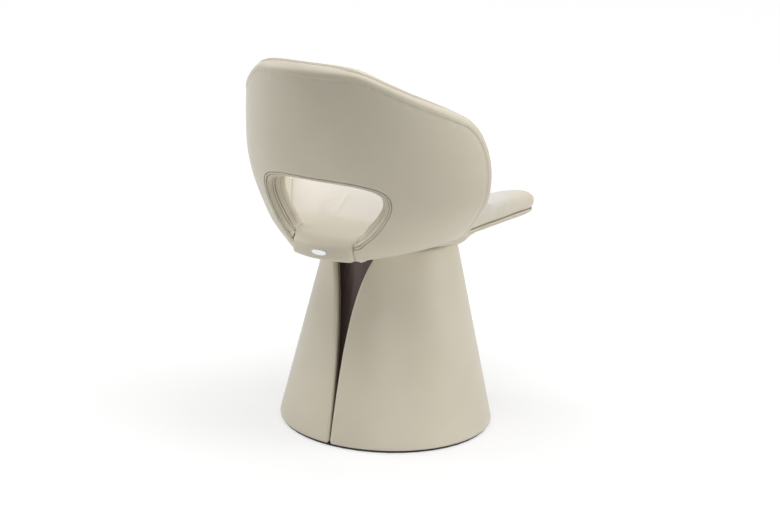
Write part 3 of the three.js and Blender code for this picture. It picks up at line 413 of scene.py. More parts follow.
def smooth_curve(rows):
    """Places and values of a smooth curve through (place, value) rows."""
    places = np.array([row[0] for row in rows], float)
    values = np.array([row[1] for row in rows], float)
    before = np.maximum(np.arange(len(rows)) - 1, 0)
    after = np.minimum(np.arange(len(rows)) + 1, len(rows) - 1)
    slopes = (values[after] - values[before]) / (places[after] - places[before])
    fine = np.linspace(places[0], places[-1], 1500)
    k = np.clip(np.searchsorted(places, fine, side="right") - 1, 0, len(rows) - 2)
    span = places[k + 1] - places[k]
    u = (fine - places[k]) / span
    drawn = (2 * u**3 - 3 * u**2 + 1) * values[k] + (u**3 - 2 * u**2 + u) * span * slopes[k]
    drawn += (3 * u**2 - 2 * u**3) * values[k + 1] + (u**3 - u**2) * span * slopes[k + 1]
    return fine, drawn


width_curve, reach_curve = smooth_curve(width_shares), smooth_curve(reach_shares)
squareness_curve = smooth_curve(squareness_shares)
outline_curves = [smooth_curve(list(enumerate(column))) for column in zip(*outline_shares)]


def shell_section(height):
    share = (height - shell_foot) / shell_height
    return (
        shell_half_width * np.interp(share, *width_curve),
        shell_reach * np.interp(share, *reach_curve),
        np.interp(share, *squareness_curve),
    )


def shell_point(turn, height):
    half, reach, power = shell_section(height)
    x = -np.sign(np.sin(turn)) * half * np.abs(np.sin(turn)) ** (2 / power)
    y = shell_middle + reach * np.abs(np.cos(turn)) ** (2 / power)
    return np.stack([x, y, height], axis=-1)


def shell_field(points):
    half, reach, power = shell_section(points[..., 2])
    aside, behind = points[..., 0] / half, (points[..., 1] - shell_middle) / reach
    return np.abs(aside) ** power + np.abs(behind) ** power


def shell_normal(points):
    step, slopes = 0.0006, []
    for axis in range(3):
        shift = np.zeros(3)
        shift[axis] = step
        slopes.append(shell_field(points + shift) - shell_field(points - shift))
    normal = np.stack(slopes, axis=-1)
    return normal / np.linalg.norm(normal, axis=-1, keepdims=True)


def shell_edges(stations):
    """Turn and height of the outer edge and of the window edge at stations from -1 to 1."""
    side = np.where(stations < 0, -1.0, 1.0)
    place = np.abs(stations) * (len(outline_shares) - 1)
    edges = [np.interp(place, *curve) for curve in outline_curves]
    return (
        side * edges[0] * quarter, shell_foot + edges[1] * shell_height,
        side * edges[2] * quarter, shell_foot + edges[3] * shell_height,
    )


def on_shell(stations, along_fixed, along_share, depth):
    """Points at a distance from the rim, a share of the way to the window, and a depth."""
    outer_turn, outer_height, inner_turn, inner_height = shell_edges(stations)
    outer, inner = shell_point(outer_turn, outer_height), shell_point(inner_turn, inner_height)
    span = np.linalg.norm(outer - inner, axis=-1)
    share = along_fixed / span + along_share
    turn = outer_turn + (inner_turn - outer_turn) * share
    height = outer_height + (inner_height - outer_height) * share
    point = shell_point(turn, height)
    return point - shell_normal(point) * np.asarray(depth)[..., None]


# A section point of the cover is (distance from the rim, share of the span, depth, distance from
# the nearest seam, which places the painted seam shade, share of the reveal's slope, share of the
# pucker). Welts sit in channels at the window's edge and half way through its reveal. The rim's
# seam is laid along rim_seam_path, whose rows are a station and how far round the roll the seam is
# there.
rim_seam_path = [
    (0, 0.02), (0.06, 0.1), (0.11, 0.42), (0.15, 0.62), (0.27, 0.62), (0.31, 0.42), (0.36, 0.1),
    (0.42, 0.02), (1, 0.02),
]
rim_seam_step, rim_seam_narrowing = 0.03, 1.6
rim_swell, rim_swell_roll, rim_swell_width = 0.0014, 1.12, 0.36
rim_valley_depth, rim_valley_at, rim_valley_reach = 0.0004, 0.0225, 0.005
groove_depth, groove_reach = 0.0011, 0.0010
welt_radius, welt_rise = 0.0019, 0.0011
channel_depth, channel_reach, channel_shade = 0.0022, 0.0023, 0.0003
reveal_slope = [(0, 0.010), (0.29, 0.010), (0.43, 0.014), (0.72, 0.014), (0.86, 0.004), (1, 0)]
edge_round, welt_roll, middle_welt_depth = 0.012, 0.5, 0.0145
pucker_depth, pucker_end, pucker_fade = 0.0007, 0.62, 0.2
pucker_waves = [(1, 199, 0.4), (0.7, 131, 2.1), (0.5, 263, 1.3)]
off_seam = 0.01


def channel(distance):
    return channel_depth * math.exp(-((distance / channel_reach) ** 4))


# Distance from the channel's side beside a welt; it sets where the painted seam shade lies.
def beside_channel(distance):
    return abs(distance) - welt_radius - channel_shade


def in_valley(along):
    return math.exp(-(((along - rim_valley_at) / rim_valley_reach) ** 2))


def rim_point(roll):
    reach = rim_radius + rim_swell * math.exp(-(((roll - rim_swell_roll) / rim_swell_width) ** 2))
    return rim_radius - reach * math.cos(roll), rim_radius - reach * math.sin(roll)


def slope_share(depth):
    return min(max(depth / shell_thickness, 0), 1)


def slope_at(stations):
    return np.interp(np.abs(stations), *zip(*reveal_slope))


def outer_edge(roll, inward=0.0):
    """Along and depth of the window's outer rounded edge; the roll is 0 on the outer face."""
    reach = edge_round - inward
    return -edge_round + reach * math.sin(roll), edge_round - reach * math.cos(roll)


def inner_edge(roll, inward=0.0):
    """The same for its inner edge; the roll is 0 in the reveal."""
    reach, start = window_round - inward, shell_thickness - window_round
    return -window_round + reach * math.cos(roll), start + reach * math.sin(roll)


def rim_seam_roll(stations):
    return np.interp(np.abs(stations), *zip(*rim_seam_path))


def cover_section():
    section = []
    for roll in [*np.arange(-0.12, 0.85, rim_seam_step), *np.linspace(0.9, quarter, 10)]:
        along, depth = rim_point(roll)
        section.append((along, 0, depth, off_seam, 0, in_valley(along)))
    for along in np.arange(0.0209, 0.034, 0.0013):
        valley = in_valley(along)
        section.append((along, 0, rim_valley_depth * valley, off_seam, 0, valley))
    start, end = 0.035, -edge_round - 0.0005
    for share in np.linspace(0.04, 1, 26):
        section.append((start + (end - start) * share, share, 0, off_seam, 0, 0))
    for roll in np.linspace(0.02, quarter, 30):
        distance = (roll - welt_roll) * edge_round
        along, depth = outer_edge(roll, channel(distance))
        section.append((along, 1, depth, beside_channel(distance), slope_share(depth), 0))
    for depth in [*np.linspace(0.0122, 0.0185, 17), *np.linspace(0.0192, 0.029, 8)]:
        distance = depth - middle_welt_depth
        along = -channel(distance)
        section.append((along, 1, depth, beside_channel(distance), slope_share(depth), 0))
    for roll in np.linspace(0, quarter, 14):
        along, depth = inner_edge(roll)
        section.append((along, 1, depth, off_seam, slope_share(depth), 0))
    for share in np.linspace(0.04, 0.96, 26):
        along = -window_round * (1 - share) + rim_radius * share
        section.append((along, 1 - share, shell_thickness, off_seam, 1 - share, 0))
    for roll in np.linspace(-quarter, -0.18, 12):
        along, depth = rim_radius * (1 - math.cos(roll)), rim_radius * (1 - math.sin(roll))
        section.append((along, 0, depth, off_seam, 0, 0))
    return section


def lofted(name, section, stations, sewn_rim=False):
    """Closed body of a section carried along the stations; its rows are as above."""
    slope_there = slope_at(stations)
    waves = sum(gain * np.sin(rate * stations + lag) for gain, rate, lag in pucker_waves)
    fading = np.clip((pucker_end - np.abs(stations)) / pucker_fade, 0, 1)
    pucker_there = waves * pucker_depth / 2 * fading
    seam_roll = rim_seam_roll(stations)
    # Each point's seam distance goes into an attribute that places the painted seam shade.
    columns, distances = [], []
    for along, share, depth, seam_shade_distance, slope, pucker in section:
        along_there = along + slope * slope_there
        depth_there = depth + pucker * pucker_there
        seam_there = np.full(len(stations), seam_shade_distance)
        on_rim = share == 0 and along < rim_radius / 2 and depth < 0.8 * shell_thickness
        if sewn_rim and on_rim:
            roll = math.atan2(rim_radius - depth, rim_radius - along)
            away = (roll - seam_roll) * rim_radius
            inward = groove_depth * np.exp(-((away / groove_reach) ** 2))
            along_there = along_there + inward * math.cos(roll)
            depth_there = depth_there + inward * math.sin(roll)
            seam_there = rim_seam_narrowing * away
        columns.append(on_shell(stations, along_there, share, depth_there))
        distances.append(seam_there)
    rings = np.stack(columns, axis=1)
    body = place_mesh(name, rings.reshape(-1, 3), capped_faces(len(stations), len(section)))
    seam_shade_distance = body.data.attributes.new("seam_shade_distance", "FLOAT", "POINT")
    seam_shade_distance.data.foreach_set("value", np.stack(distances, axis=1).astype(np.float32).ravel())
    return body


def select_only(body):
    bpy.ops.object.select_all(action="DESELECT")
    body.select_set(True)
    bpy.context.view_layer.objects.active = body


def cut_by(body, tool):
    select_only(body)
    cutter = body.modifiers.new("cut", "BOOLEAN")
    cutter.operation = "DIFFERENCE"
    cutter.solver = "MANIFOLD"
    cutter.object = tool
    bpy.ops.object.modifier_apply(modifier="cut")
    bpy.data.objects.remove(tool)
    body.data.materials.clear()


def box_between(name, low, high):
    bpy.ops.object.select_all(action="DESELECT")
    bpy.ops.mesh.primitive_cube_add(size=1)
    block = bpy.context.object
    block.name = name
    size = [b - a for a, b in zip(low, high)]
    middle = [(a + b) / 2 for a, b in zip(low, high)]
    block.data.transform(Matrix.Translation(middle) @ Matrix.Diagonal((*size, 1)))
    return block


leg_top = 0.486


def leg_space(extra=0.0):
    reach = tongue_half_width + leg_gap + extra
    return box_between("leg_space", (-reach, 0.2, 0.36), (reach, 0.45, leg_top))


back_stations = np.linspace(-1, 1, 481)
back_leather = lofted("back_leather", cover_section(), back_stations, sewn_rim=True)
cut_by(back_leather, leg_space())
# The cut faces at the legs get no painted seam shade.
for vertex in back_leather.data.vertices:
    if abs(abs(vertex.co.x) - tongue_half_width - leg_gap) < 0.00001:
        back_leather.data.attributes["seam_shade_distance"].data[vertex.index].value = off_seam
select_only(back_leather)
bpy.ops.object.shade_smooth_by_angle(angle=math.radians(50))
back_leather.data.materials.append(seam_shaded_leather)
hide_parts("back_outer_pad", "back_inner_pad")
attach(back_leather, "seat")


# Welts: thin leather-covered cords, sewn into the seam round the window's outer edge and into
# the one half way through its reveal.
def tube(name, line, radius, sides=8):
    line = np.asarray(line)
    tangents = np.gradient(line, axis=0)
    tangents /= np.linalg.norm(tangents, axis=1, keepdims=True)
    side = np.cross(tangents, [0.0, 0.3, 1.0])
    side /= np.linalg.norm(side, axis=1, keepdims=True)
    rise = np.cross(side, tangents)
    angles = (np.arange(sides) * 2 * math.pi / sides)[None, :, None]
    around = np.cos(angles) * side[:, None, :] + np.sin(angles) * rise[:, None, :]
    rings = line[:, None, :] + radius * around
    return place_mesh(name, rings.reshape(-1, 3), capped_faces(len(line), sides))


def outside_legs(line, half):
    return (np.abs(line[:, 0]) > half) | (line[:, 2] > leg_top)


fine_stations = np.linspace(-0.99, 0.99, 900)


def window_line(along, depth):
    along_there = along + slope_share(depth) * slope_at(fine_stations)
    return on_shell(fine_stations, along_there, 1, np.full(len(fine_stations), depth))


welt_inward = welt_radius - welt_rise
for name, (along, depth) in (
    ("window_outer_welt", outer_edge(welt_roll, welt_inward)),
    ("window_middle_welt", (-welt_inward, middle_welt_depth)),
):
    line = window_line(along, depth)
    welt = tube(name, line[outside_legs(line, tongue_half_width + 0.003)], welt_radius)
    welt.data.materials.append(plain_leather)
    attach(welt, "seat")


# Stitches: brown-grey thread that shows as short raised lines at both sides of the rim's seam
# and along the inner edge of the window.
thread = Finish("thread")
diagonal = {"wave_type": "BANDS", "bands_direction": "DIAGONAL"}
twist = thread.node("ShaderNodeTexWave", diagonal, {"Vector": thread.where, "Scale": 900.0})
thread_colour = thread.blend(twist, (0.13, 0.105, 0.075), (0.21, 0.175, 0.13))
twist_relief = {"Height": twist, "Strength": 0.4, "Distance": 0.0002}
twist_bump = thread.node("ShaderNodeBump", inputs=twist_relief)
thread_material = thread.shows(Base_Color=thread_colour, Roughness=0.7, Normal=twist_bump)
stitch_profile = [(-0.5, 0.15), (-0.38, 0.8), (0, 1.0), (0.38, 0.8), (0.5, 0.15)]
stitch_lift, stitch_dive, stitch_sides = 0.4, 0.84, 6


def run_along(line):
    """How far along a line each of its points lies."""
    return np.concatenate([[0], np.cumsum(np.linalg.norm(np.diff(line, axis=0), axis=1))])


def picked(line, run, places):
    return np.stack([np.interp(places, run, column) for column in line.T], axis=1)


def stitch_row(name, line, outward, pitch=0.0042, length=0.0030, radius=0.00045):
    """Small rounded stitches laid along a line, with the surface's outward directions."""
    run = run_along(line)
    places = np.arange(pitch, run[-1] - pitch, pitch)
    middle = picked(line, run, places)
    up = picked(outward, run, places)
    up /= np.linalg.norm(up, axis=1, keepdims=True)
    forward = picked(line, run, places + 0.001) - middle
    forward /= np.linalg.norm(forward, axis=1, keepdims=True)
    across = np.cross(up, forward)
    points, faces = [], []
    for m, f, u, a in zip(middle, forward, up, across):
        faces += capped_faces(len(stitch_profile), stitch_sides, len(points))
        for shift, swell in stitch_profile:
            lift = radius * (stitch_lift - stitch_dive * (2 * shift) ** 4)
            for i in range(stitch_sides):
                angle = 2 * math.pi * i / stitch_sides
                raised = u * (lift + radius * swell * math.sin(angle))
                aside = a * radius * swell * math.cos(angle)
                points.append(m + f * shift * length + raised + aside)
    row = place_mesh(name, points, faces)
    row.data.materials.append(thread_material)
    return row


def beside_rim_seam(aside, outward):
    roll = rim_seam_roll(fine_stations) + aside / rim_radius
    reach = rim_radius + outward
    along, depth = rim_radius - reach * np.cos(roll), rim_radius - reach * np.sin(roll)
    return on_shell(fine_stations, along, 0, depth)


stitch_reach, window_stitch_depth = 0.0030, 0.027
stitch_lines = {
    "rim_stitches_inside": [beside_rim_seam(-stitch_reach, outward) for outward in (0, 0.01)],
    "rim_stitches_outside": [beside_rim_seam(stitch_reach, outward) for outward in (0, 0.01)],
    "window_stitches": [window_line(outward, window_stitch_depth) for outward in (0, 0.01)],
}
for name, (line, raised) in stitch_lines.items():
    keep = outside_legs(line, tongue_half_width + 0.006)
    row = stitch_row(name, line[keep], (raised - line)[keep])
    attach(row, "seat")


# Seat: a foam cushion on the board, covered in one piece of leather that runs on through the
# window as a tongue and rolls down between the legs of the back. It is cut a little wide, so
# that it presses against the back and the arms.
board_top, seat_gap = 0.438, 0.0003
front_reach, front_half, arm_half, corner_round = 0.262, 0.201, 0.1889, 0.034
arm_front, crest_height, seat_dish, seat_rounding = 0.033, 0.494, 0.028, 0.024
tongue_rear, tongue_bow, tongue_roll, tongue_crest_inset = 0.2661, 0.018, 0.010, 0.045
tongue_root, tongue_top, tongue_foot = 0.2321, 0.446, 0.401
seat_tuck, seat_rear_tuck, seat_swelling, tongue_overlap = 0.022, 0.038, 0.003, 0.005
arm_front_reach, cushion_widening, base_widening = 0.92, (-0.19, 0.03), (-0.035, 0.04)
arm_row, rows_behind_arm = 17, 3.4
tongue_edge_rise, tongue_edge_fill = 0.006, 0.3
tongue_edge_half, tongue_edge_run, tongue_edge_at, tongue_edge_reach = 0.042, 0.026, 0.229, 0.022
crest_curve = smooth_curve([
    (0, 0.32), (0.03, 0.52), (0.085, 0.68), (0.17, 0.785), (0.27, 0.86), (0.36, 0.95),
    (0.46, 1.02), (0.55, 1.22), (0.605, 1.2), (0.645, 0.96), (0.69, 0.69), (0.74, 0.46),
    (0.795, 0.29), (0.855, 0.11), (0.91, 0.02), (1, 0),
])
crest_width_curve = smooth_curve([
    (0, 0.9), (0.45, 0.89), (0.55, 0.93), (0.605, 0.98), (0.645, 0.96), (0.69, 0.9), (0.74, 0.8),
    (0.795, 0.7), (0.855, 0.55), (0.91, 0.42), (1, 0.34),
])
dish_curve = smooth_curve([
    (0, 0.9), (0.085, 1), (0.27, 0.85), (0.46, 0.9), (0.605, 0.85), (0.69, 0.65), (0.74, 0.43),
    (0.795, 0.28), (0.855, 0.14), (0.91, 0.03), (1, 0),
])


def behind_rim(row, inset):
    station = np.array([-row / (len(outline_shares) - 1)])
    turn, height, _, _ = shell_edges(station)
    point = shell_point(turn, height)
    normal = shell_normal(point)[0]
    level = normal[:2] / np.linalg.norm(normal[:2])
    return point[0][:2] - level * inset


def resampled(line, count):
    line = np.asarray(line)
    run = run_along(line)
    return picked(line, run, np.linspace(0, run[-1], count))


def seat_half_plan(inset, held_inset):
    """From the middle of the front edge round one side to the root of the tongue. Towards the
    arm the edge passes from its free inset to the one where the back holds it, which is below
    0 where the cushion is cut wide."""
    side, front = front_half - inset, inset - front_reach
    at_arm = held_inset * arm_front_reach if held_inset < 0 else held_inset
    widens_from, widens_to = cushion_widening if held_inset < 0 else base_widening
    plan = [(share * (side - corner_round), front) for share in np.linspace(0, 1, 20)]
    for angle in np.linspace(0, quarter, 15)[1:]:
        aside, ahead_by = 1 - math.sin(angle), 1 - math.cos(angle)
        plan.append((side - corner_round * aside, front + corner_round * ahead_by))
    start = front + corner_round
    for share in np.linspace(0.04, 1, 30):
        y = start + (arm_front - start) * share
        u = min(max((y - widens_from) / (widens_to - widens_from), 0), 1)
        held = inset + (at_arm - inset) * (3 * u**2 - 2 * u**3)
        plan.append((front_half + (arm_half - front_half) * share - held, y))
    for share in np.linspace(0, 1, 30)[1:]:
        tuck = seat_tuck + (seat_rear_tuck - seat_tuck) * share
        held = at_arm + (held_inset - at_arm) * min(share / 0.25, 1)
        plan.append(tuple(behind_rim(arm_row + rows_behind_arm * share, tuck + held)))
    plan[-1] = (tongue_half_width - max(held_inset, 0), plan[-1][1])
    return plan


def seat_top(x, y):
    share = (y + front_reach) / (tongue_rear + front_reach)
    crest = tongue_top + (crest_height - tongue_top) * np.interp(share, *crest_curve)
    depth = seat_dish * np.interp(share, *dish_curve)
    across = np.minimum(np.abs(x) / (front_half * np.interp(share, *crest_width_curve)), 1)
    edge = np.clip((np.abs(x) - tongue_edge_half) / tongue_edge_run, 0, 1) ** 2
    edge = edge * np.exp(-(((y - tongue_edge_at) / tongue_edge_reach) ** 2))
    return crest - depth * (1 - across**6 * (7 - 6 * across)) + tongue_edge_rise * edge


def tongue_line(side, rear_inset):
    rear = tongue_rear - rear_inset
    filled = tongue_edge_fill * rear_inset
    shares = np.linspace(1, 0, 20)
    return [(s * side, rear + tongue_bow * (1 - s**2) + filled * s**6) for s in shares]


def seat_ring(inset, held_inset, rear_inset, rise):
    plan = seat_half_plan(inset, held_inset)
    root = (plan[-1][0] + tongue_overlap * min(rise / 0.3, 1), plan[-1][1])
    rear = tongue_rear - rear_inset
    plan += [(root[0], root[1] + (rear - root[1]) * share) for share in np.linspace(0.1, 0.9, 8)]
    plan += tongue_line(root[0], rear_inset)
    plan = resampled(plan, 140)
    bottom = board_top + seat_gap
    height = bottom + (seat_top(plan[:, 0], plan[:, 1]) - bottom) * rise
    return np.column_stack([plan, height])


def hanging_ring(rear_inset, height):
    side = tongue_half_width - 0.0005
    front = tongue_root + seat_gap
    rear = tongue_rear - rear_inset
    plan = [(share * side, front) for share in np.linspace(0, 1, 12)]
    plan += [(side, front + (rear - front) * share) for share in np.linspace(0.1, 0.9, 6)]
    plan += tongue_line(side, rear_inset)
    plan = resampled(plan, 60)
    return np.column_stack([plan, np.full(len(plan), height)])


def whole_ring(half):
    other = half[1:-1][::-1] * np.array([-1, 1, 1])
    return np.vstack([half, other])


def ring_body(name, rings):
    """Closed body of even rings, whose ends are filled with strips from side to side."""
    count = len(rings[0])
    points = [p for ring in rings for p in ring]
    faces = ring_faces(len(rings), count)
    for start in (0, (len(rings) - 1) * count):
        far = start + count // 2
        faces += [(start, start + 1, start + count - 1), (far - 1, far, far + 1)]
        for i in range(1, count // 2 - 1):
            faces.append((start + i, start + i + 1, start + count - i - 1, start + count - i))
    return place_mesh(name, points, faces)


def drawn_in(ring, share, height_at):
    """A ring made narrower towards a line along the middle of the seat."""
    spine = np.clip(ring[:, 1], -0.57 * front_reach, 0.57 * tongue_rear)
    x = ring[:, 0] * (1 - share)
    y = ring[:, 1] + (spine - ring[:, 1]) * share
    return np.column_stack([x, y, height_at(x, y)])


def sampled(rows, count):
    """Rows of a table, made smooth and more of them."""
    curves = [smooth_curve(list(enumerate(column))) for column in zip(*rows)]
    places = np.linspace(0, len(rows) - 1, count)
    return [[float(np.interp(place, *curve)) for curve in curves] for place in places]


side_rows = [
    (0, 0, 0.22, 0), (-0.12, -0.3, 0.27, 0.3), (-0.13, -1.2, 0.33, 0.58), (0, -1.7, 0.49, 0.82),
    (0.36, -1.7, 0.71, 0.95), (1, -1.7, 1, 1),
]
side_rings = [
    whole_ring(seat_ring(free * seat_rounding, held * seat_tuck, rear * tongue_crest_inset, rise))
    for free, held, rear, rise in sampled(side_rows, 22)
]
top_rings = [drawn_in(side_rings[-1], share, seat_top) for share in np.linspace(0.06, 0.96, 14)]
low_ring = drawn_in(side_rings[0], 0.5, lambda x, y: np.full(len(x), board_top + seat_gap))
seat_leather = ring_body("seat_leather", [low_ring, *side_rings, *top_rings])
hanging_rows = [(0.8, 0), (0.2, 0.13), (0, 0.5), (0.15, 0.78), (0.5, 0.91), (1.03, 1), (1.3, 1.04)]
hanging_length = board_top + seat_gap - tongue_foot
hanging = ring_body("hanging_tongue", [
    whole_ring(hanging_ring(roll * tongue_roll, tongue_foot + hanging_length * rise))
    for roll, rise in sampled(hanging_rows, 19)
])
select_only(seat_leather)
hanging.select_set(True)
bpy.ops.object.join()


def remesh(body, size):
    select_only(body)
    net = body.modifiers.new("net", "REMESH")
    net.mode = "VOXEL"
    net.voxel_size = size
    net.use_smooth_shade = True
    bpy.ops.object.modifier_apply(modifier="net")
    calm = body.modifiers.new("calm", "SMOOTH")
    calm.factor = 0.5
    calm.iterations = 3
    bpy.ops.object.modifier_apply(modifier="calm")


def puffed(body, pressure, cap, held):
    """Lets air pressure swell a cover for a moment; held is true for points that stay."""
    before = np.array([v.co[:] for v in body.data.vertices])
    grip = body.vertex_groups.new(name="grip")
    grip.add([i for i, p in enumerate(before) if held(p)], 1.0, "REPLACE")
    select_only(body)
    cloth = body.modifiers.new("cloth", "CLOTH")
    cloth.settings.use_pressure = True
    cloth.settings.uniform_pressure_force = pressure
    cloth.settings.vertex_group_mass = "grip"
    cloth.settings.tension_stiffness = 25
    cloth.settings.compression_stiffness = 25
    cloth.settings.effector_weights.gravity = 0
    scene = bpy.context.scene
    for number in range(1, 21):
        scene.frame_set(number)
    bpy.ops.object.modifier_apply(modifier="cloth")
    scene.frame_set(1)
    for vertex, start in zip(body.data.vertices, before):
        step = vertex.co - Vector(start)
        if step.length > cap:
            vertex.co = Vector(start) + step * (cap / step.length)


def seat_is_held(p):
    """At the board, near the window, and beside the arms."""
    return p[2] < board_top + 0.006 or p[1] > 0.16 or (p[1] > 0 and abs(p[0]) > 0.15 - 0.4 * p[1])


def lay_crease(body, start, end, depth, reach):
    """A shallow line in the top of a cover, as leather takes where it is sat on."""
    run, top_from = Vector(end) - Vector(start), board_top + 0.015
    for vertex in body.data.vertices:
        if vertex.co.z < top_from:
            continue
        step = Vector(vertex.co[:2]) - Vector(start)
        share = min(max(step.dot(run) / run.length_squared, 0), 1)
        aside = (step - run * share).length
        vertex.co.z -= depth * 4 * share * (1 - share) * math.exp(-((aside / reach) ** 2))


def swollen_back(clearance):
    """The back's whole body, larger all round by a clearance, to cut the seat with."""
    outline = []
    reach = rim_radius + clearance
    for roll in np.linspace(-quarter, quarter, 9):
        along, depth = rim_radius - reach * math.cos(roll), rim_radius + reach * math.sin(roll)
        outline.append((along, 0, depth))
    run, behind = window_round + rim_radius, shell_thickness + clearance
    inner = [(rim_radius - run * share, share, behind) for share in np.linspace(0.05, 0.95, 16)]
    outline += inner
    for roll in np.linspace(quarter, 0, 5):
        along, depth = inner_edge(roll, -clearance)
        outline.append((along, 1, depth))
    for roll in np.linspace(quarter, 0, 5):
        along, depth = outer_edge(roll, -clearance)
        outline.append((along, 1, depth))
    outline += [(along, share, -clearance) for along, share, _ in reversed(inner)]
    section = [(along, s, depth, 0, s * slope_share(depth), 0) for along, s, depth in outline]
    body = lofted("swollen_back", section, np.linspace(-1, 1, 241))
    cut_by(body, leg_space(-leg_overlap))
    return body


cut_clearance, leg_overlap = 0.0008, 0.0002
remesh(seat_leather, 0.005)
puffed(seat_leather, 4.0, seat_swelling, seat_is_held)
select_only(seat_leather)
finer = seat_leather.modifiers.new("finer", "SUBSURF")
finer.levels = 1
finer.render_levels = 1
bpy.ops.object.modifier_apply(modifier="finer")
lay_crease(seat_leather, (0.100, -0.035), (0.045, 0.185), 0.0017, 0.0042)
cut_by(seat_leather, swollen_back(cut_clearance))
select_only(seat_leather)
bpy.ops.object.shade_smooth_by_angle(angle=math.radians(40))
# The seat's leather carries a painted sheen that pales its top.
seat_leather.data.materials.append(seat_sheen_leather)
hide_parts("seat_cushion")
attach(seat_leather, "seat")


# Underside of the seat: a padded leather bowl below the board, with a lip round the board's
# edge. The seam between it and the cushion holds a piped cord.
piping_radius, piping_inset = 0.0025, 0.001
piping_height = board_top - piping_radius
lip_top = piping_height - piping_radius - seat_gap
pad_top, pad_flat, pad_opening, bowl_width = 0.4197, 0.402, 0.098, 0.062
board_wall, board_held_wall = 0.0297, 0.0043
lip_ledge = piping_inset + piping_radius + seat_gap


def under_ring(inset, held_inset, height, radius=None):
    rear = tongue_root - seat_gap - held_inset
    plan = seat_half_plan(inset, held_inset)
    plan += [(share * (tongue_half_width - held_inset), rear) for share in np.linspace(1, 0, 10)]
    plan = resampled(plan, 140)
    if radius:
        plan = plan * (radius / np.linalg.norm(plan, axis=1))[:, None]
    return whole_ring(np.column_stack([plan, np.full(len(plan), height)]))


bowl_rows = [
    (0, 0, 1), (0.05, 0, 0.9), (0.13, 0.01, 0.78), (0.32, 0.024, 0.586), (0.65, 0.22, 0.293),
    (1, 0.65, 0.065),
]
bowl_height = lip_top - pad_flat
under_rings = [
    under_ring(0, 0, pad_top, pad_opening), under_ring(board_wall, board_held_wall, pad_top),
    under_ring(board_wall, board_held_wall, board_top), under_ring(lip_ledge, lip_ledge, board_top),
    under_ring(lip_ledge, lip_ledge, lip_top),
]
for free, held, rise in sampled(bowl_rows, 21):
    height = pad_flat + bowl_height * rise
    under_rings.append(under_ring(free * bowl_width, held * bowl_width, height))
under_rings.append(under_ring(0, 0, pad_flat, pad_opening))
under_count = len(under_rings[0])
under_faces = ring_faces(len(under_rings), under_count)
last = (len(under_rings) - 1) * under_count
for i in range(under_count):
    j = (i + 1) % under_count
    under_faces.append((last + i, last + j, j, i))
underside_leather = place_mesh("underside_leather", np.vstack(under_rings), under_faces)
cut_by(underside_leather, swollen_back(cut_clearance))
select_only(underside_leather)
bpy.ops.object.shade_smooth_by_angle(angle=math.radians(40))
underside_leather.data.materials.append(plain_leather)
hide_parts("underside_pad")
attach(underside_leather, "seat")

piping_points = 68
piping_half = seat_half_plan(piping_inset, piping_inset)[:piping_points]
piping_line = [(-x, y, piping_height) for x, y in reversed(piping_half[1:])]
piping_line += [(x, y, piping_height) for x, y in piping_half]
seat_welt = tube("seat_welt", resampled(piping_line, 280), piping_radius, sides=10)
seat_welt.data.materials.append(plain_leather)
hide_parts("seat_piping")
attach(seat_welt, "seat")


# Plate on the tongue: a small oval of polished metal, left bare, with a rounded edge. It is
# pressed onto the leather where the tongue rolls down.
plate_half_size, plate_edge_round = (0.0165, 0.0052, 0.0022), 0.0006
plate_aside, plate_proud, plate_height = -0.006, 0.0004, 0.4185
bpy.ops.object.select_all(action="DESELECT")
bpy.ops.mesh.primitive_cylinder_add(vertices=64, radius=1, depth=1, location=(0, 0, 0))
oval_plate = bpy.context.object
oval_plate.name = "oval_plate"
bpy.ops.object.mode_set(mode="EDIT")
bpy.ops.mesh.select_all(action="SELECT")
bpy.ops.transform.resize(value=plate_half_size)
bpy.ops.mesh.select_all(action="DESELECT")
bpy.ops.object.mode_set(mode="OBJECT")
bevel = oval_plate.modifiers.new("bevel", "BEVEL")
bevel.width = plate_edge_round
bevel.segments = 3
bevel.limit_method = "ANGLE"
bpy.ops.object.modifier_apply(modifier="bevel")
tongue_surface = tongue_rear + tongue_bow * (1 - (plate_aside / tongue_half_width) ** 2)
plate_place = Vector((plate_aside, tongue_surface + plate_proud, plate_height))
oval_plate.data.transform(Matrix.Translation(plate_place) @ Matrix.Rotation(math.pi / 2, 4, "X"))
bpy.ops.object.shade_smooth_by_angle(angle=math.radians(35))


def metal_finish(name, colour, roughness, brushed=0.0):
    metal = Finish(name)
    where = metal.where
    stretched = metal.node("ShaderNodeMapping", inputs={"Vector": where, "Scale": (40, 40, 900)})
    brushing = {"Vector": stretched, "Scale": 3.0, "Detail": 3.0}
    lines = metal.node("ShaderNodeTexNoise", inputs=brushing)
    smudges = {"Vector": where, "Scale": 30.0, "Detail": 4.0}
    smudge = metal.node("ShaderNodeTexNoise", inputs=smudges)
    rough = (smudge - 0.5) * 0.16 + (lines - 0.5) * brushed + roughness
    darker = tuple(0.85 * c for c in colour)
    tint = metal.blend(smudge, darker, colour)
    relief = {"Height": lines, "Strength": 0.05 + brushed * 0.3, "Distance": 0.0002}
    bump = metal.node("ShaderNodeBump", inputs=relief)
    return metal.shows(Base_Color=tint, Roughness=rough.kept(0.05, 1), Metallic=1.0, Normal=bump)


polished = metal_finish("polished_metal", (0.80, 0.80, 0.81), 0.14)
oval_plate.data.materials.append(polished)
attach(oval_plate, "seat")


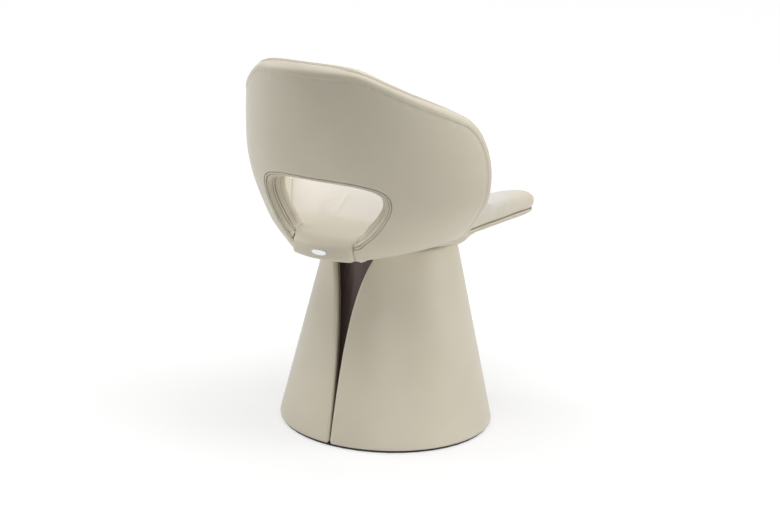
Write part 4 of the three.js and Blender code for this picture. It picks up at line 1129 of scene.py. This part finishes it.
# Carried-over solids: steel, bronze, felt, plywood and moulded board inside the chair, and the
# dark leather on the inner cone that shows through the slit.
brushed_steel = metal_finish("brushed_steel", (0.55, 0.56, 0.57), 0.34, 0.2)
black_steel = metal_finish("black_steel", (0.05, 0.05, 0.052), 0.5, 0.1)
bronze = metal_finish("bronze", (0.62, 0.45, 0.24), 0.36, 0.15)
dark_leather = leather_finish("dark_leather", (0.125, 0.088, 0.080), (0.085, 0.060, 0.054))

felt = Finish("felt")
fibres = {"Vector": felt.where, "Scale": 700.0, "Detail": 4.0, "Distortion": 2.0}
felt_fibre = felt.node("ShaderNodeTexNoise", inputs=fibres)
felt_colour = felt.blend(felt_fibre, (0.02, 0.02, 0.019), (0.07, 0.068, 0.064))
felt_relief = {"Height": felt_fibre, "Strength": 0.5, "Distance": 0.0006}
felt_bump = felt.node("ShaderNodeBump", inputs=felt_relief)
felt_material = felt.shows(Base_Color=felt_colour, Roughness=0.95, Normal=felt_bump)

ply = Finish("plywood")
level = {"wave_type": "BANDS", "bands_direction": "Z"}
layers = {"Vector": ply.where, "Scale": 110.0, "Distortion": 0.6, "Detail": 2.0}
ply_layers = ply.node("ShaderNodeTexWave", level, layers)
drawn_out = ply.node("ShaderNodeMapping", inputs={"Vector": ply.where, "Scale": (12, 160, 160)})
grain = {"Vector": drawn_out, "Scale": 4.0, "Detail": 4.0}
ply_grain = ply.node("ShaderNodeTexNoise", inputs=grain)
ply_share = (ply_layers * 0.4 + ply_grain * 0.6).kept()
ply_colour = ply.blend(ply_share, (0.40, 0.27, 0.14), (0.66, 0.50, 0.30))
ply_material = ply.shows(Base_Color=ply_colour, Roughness=0.62)

board = Finish("moulded_board")
specks = {"Vector": board.where, "Scale": 260.0, "Detail": 4.0}
board_speck = board.node("ShaderNodeTexNoise", inputs=specks)
board_colour = board.blend(board_speck, (0.20, 0.15, 0.10), (0.34, 0.27, 0.19))
board_material = board.shows(Base_Color=board_colour, Roughness=0.75)

slot_finishes = {
    "dark_leather": dark_leather, "felt": felt_material, "black_steel": black_steel,
    "steel": brushed_steel, "bright_steel": polished, "bronze": bronze,
    "moulded_shell": board_material, "plywood": ply_material, "leather": plain_leather,
}
for part in frame["record"]["subparts"]:
    node = frame["nodes"][part["node"]]
    node.data.materials.clear()
    node.data.materials.append(slot_finishes[part["material_slot"]])
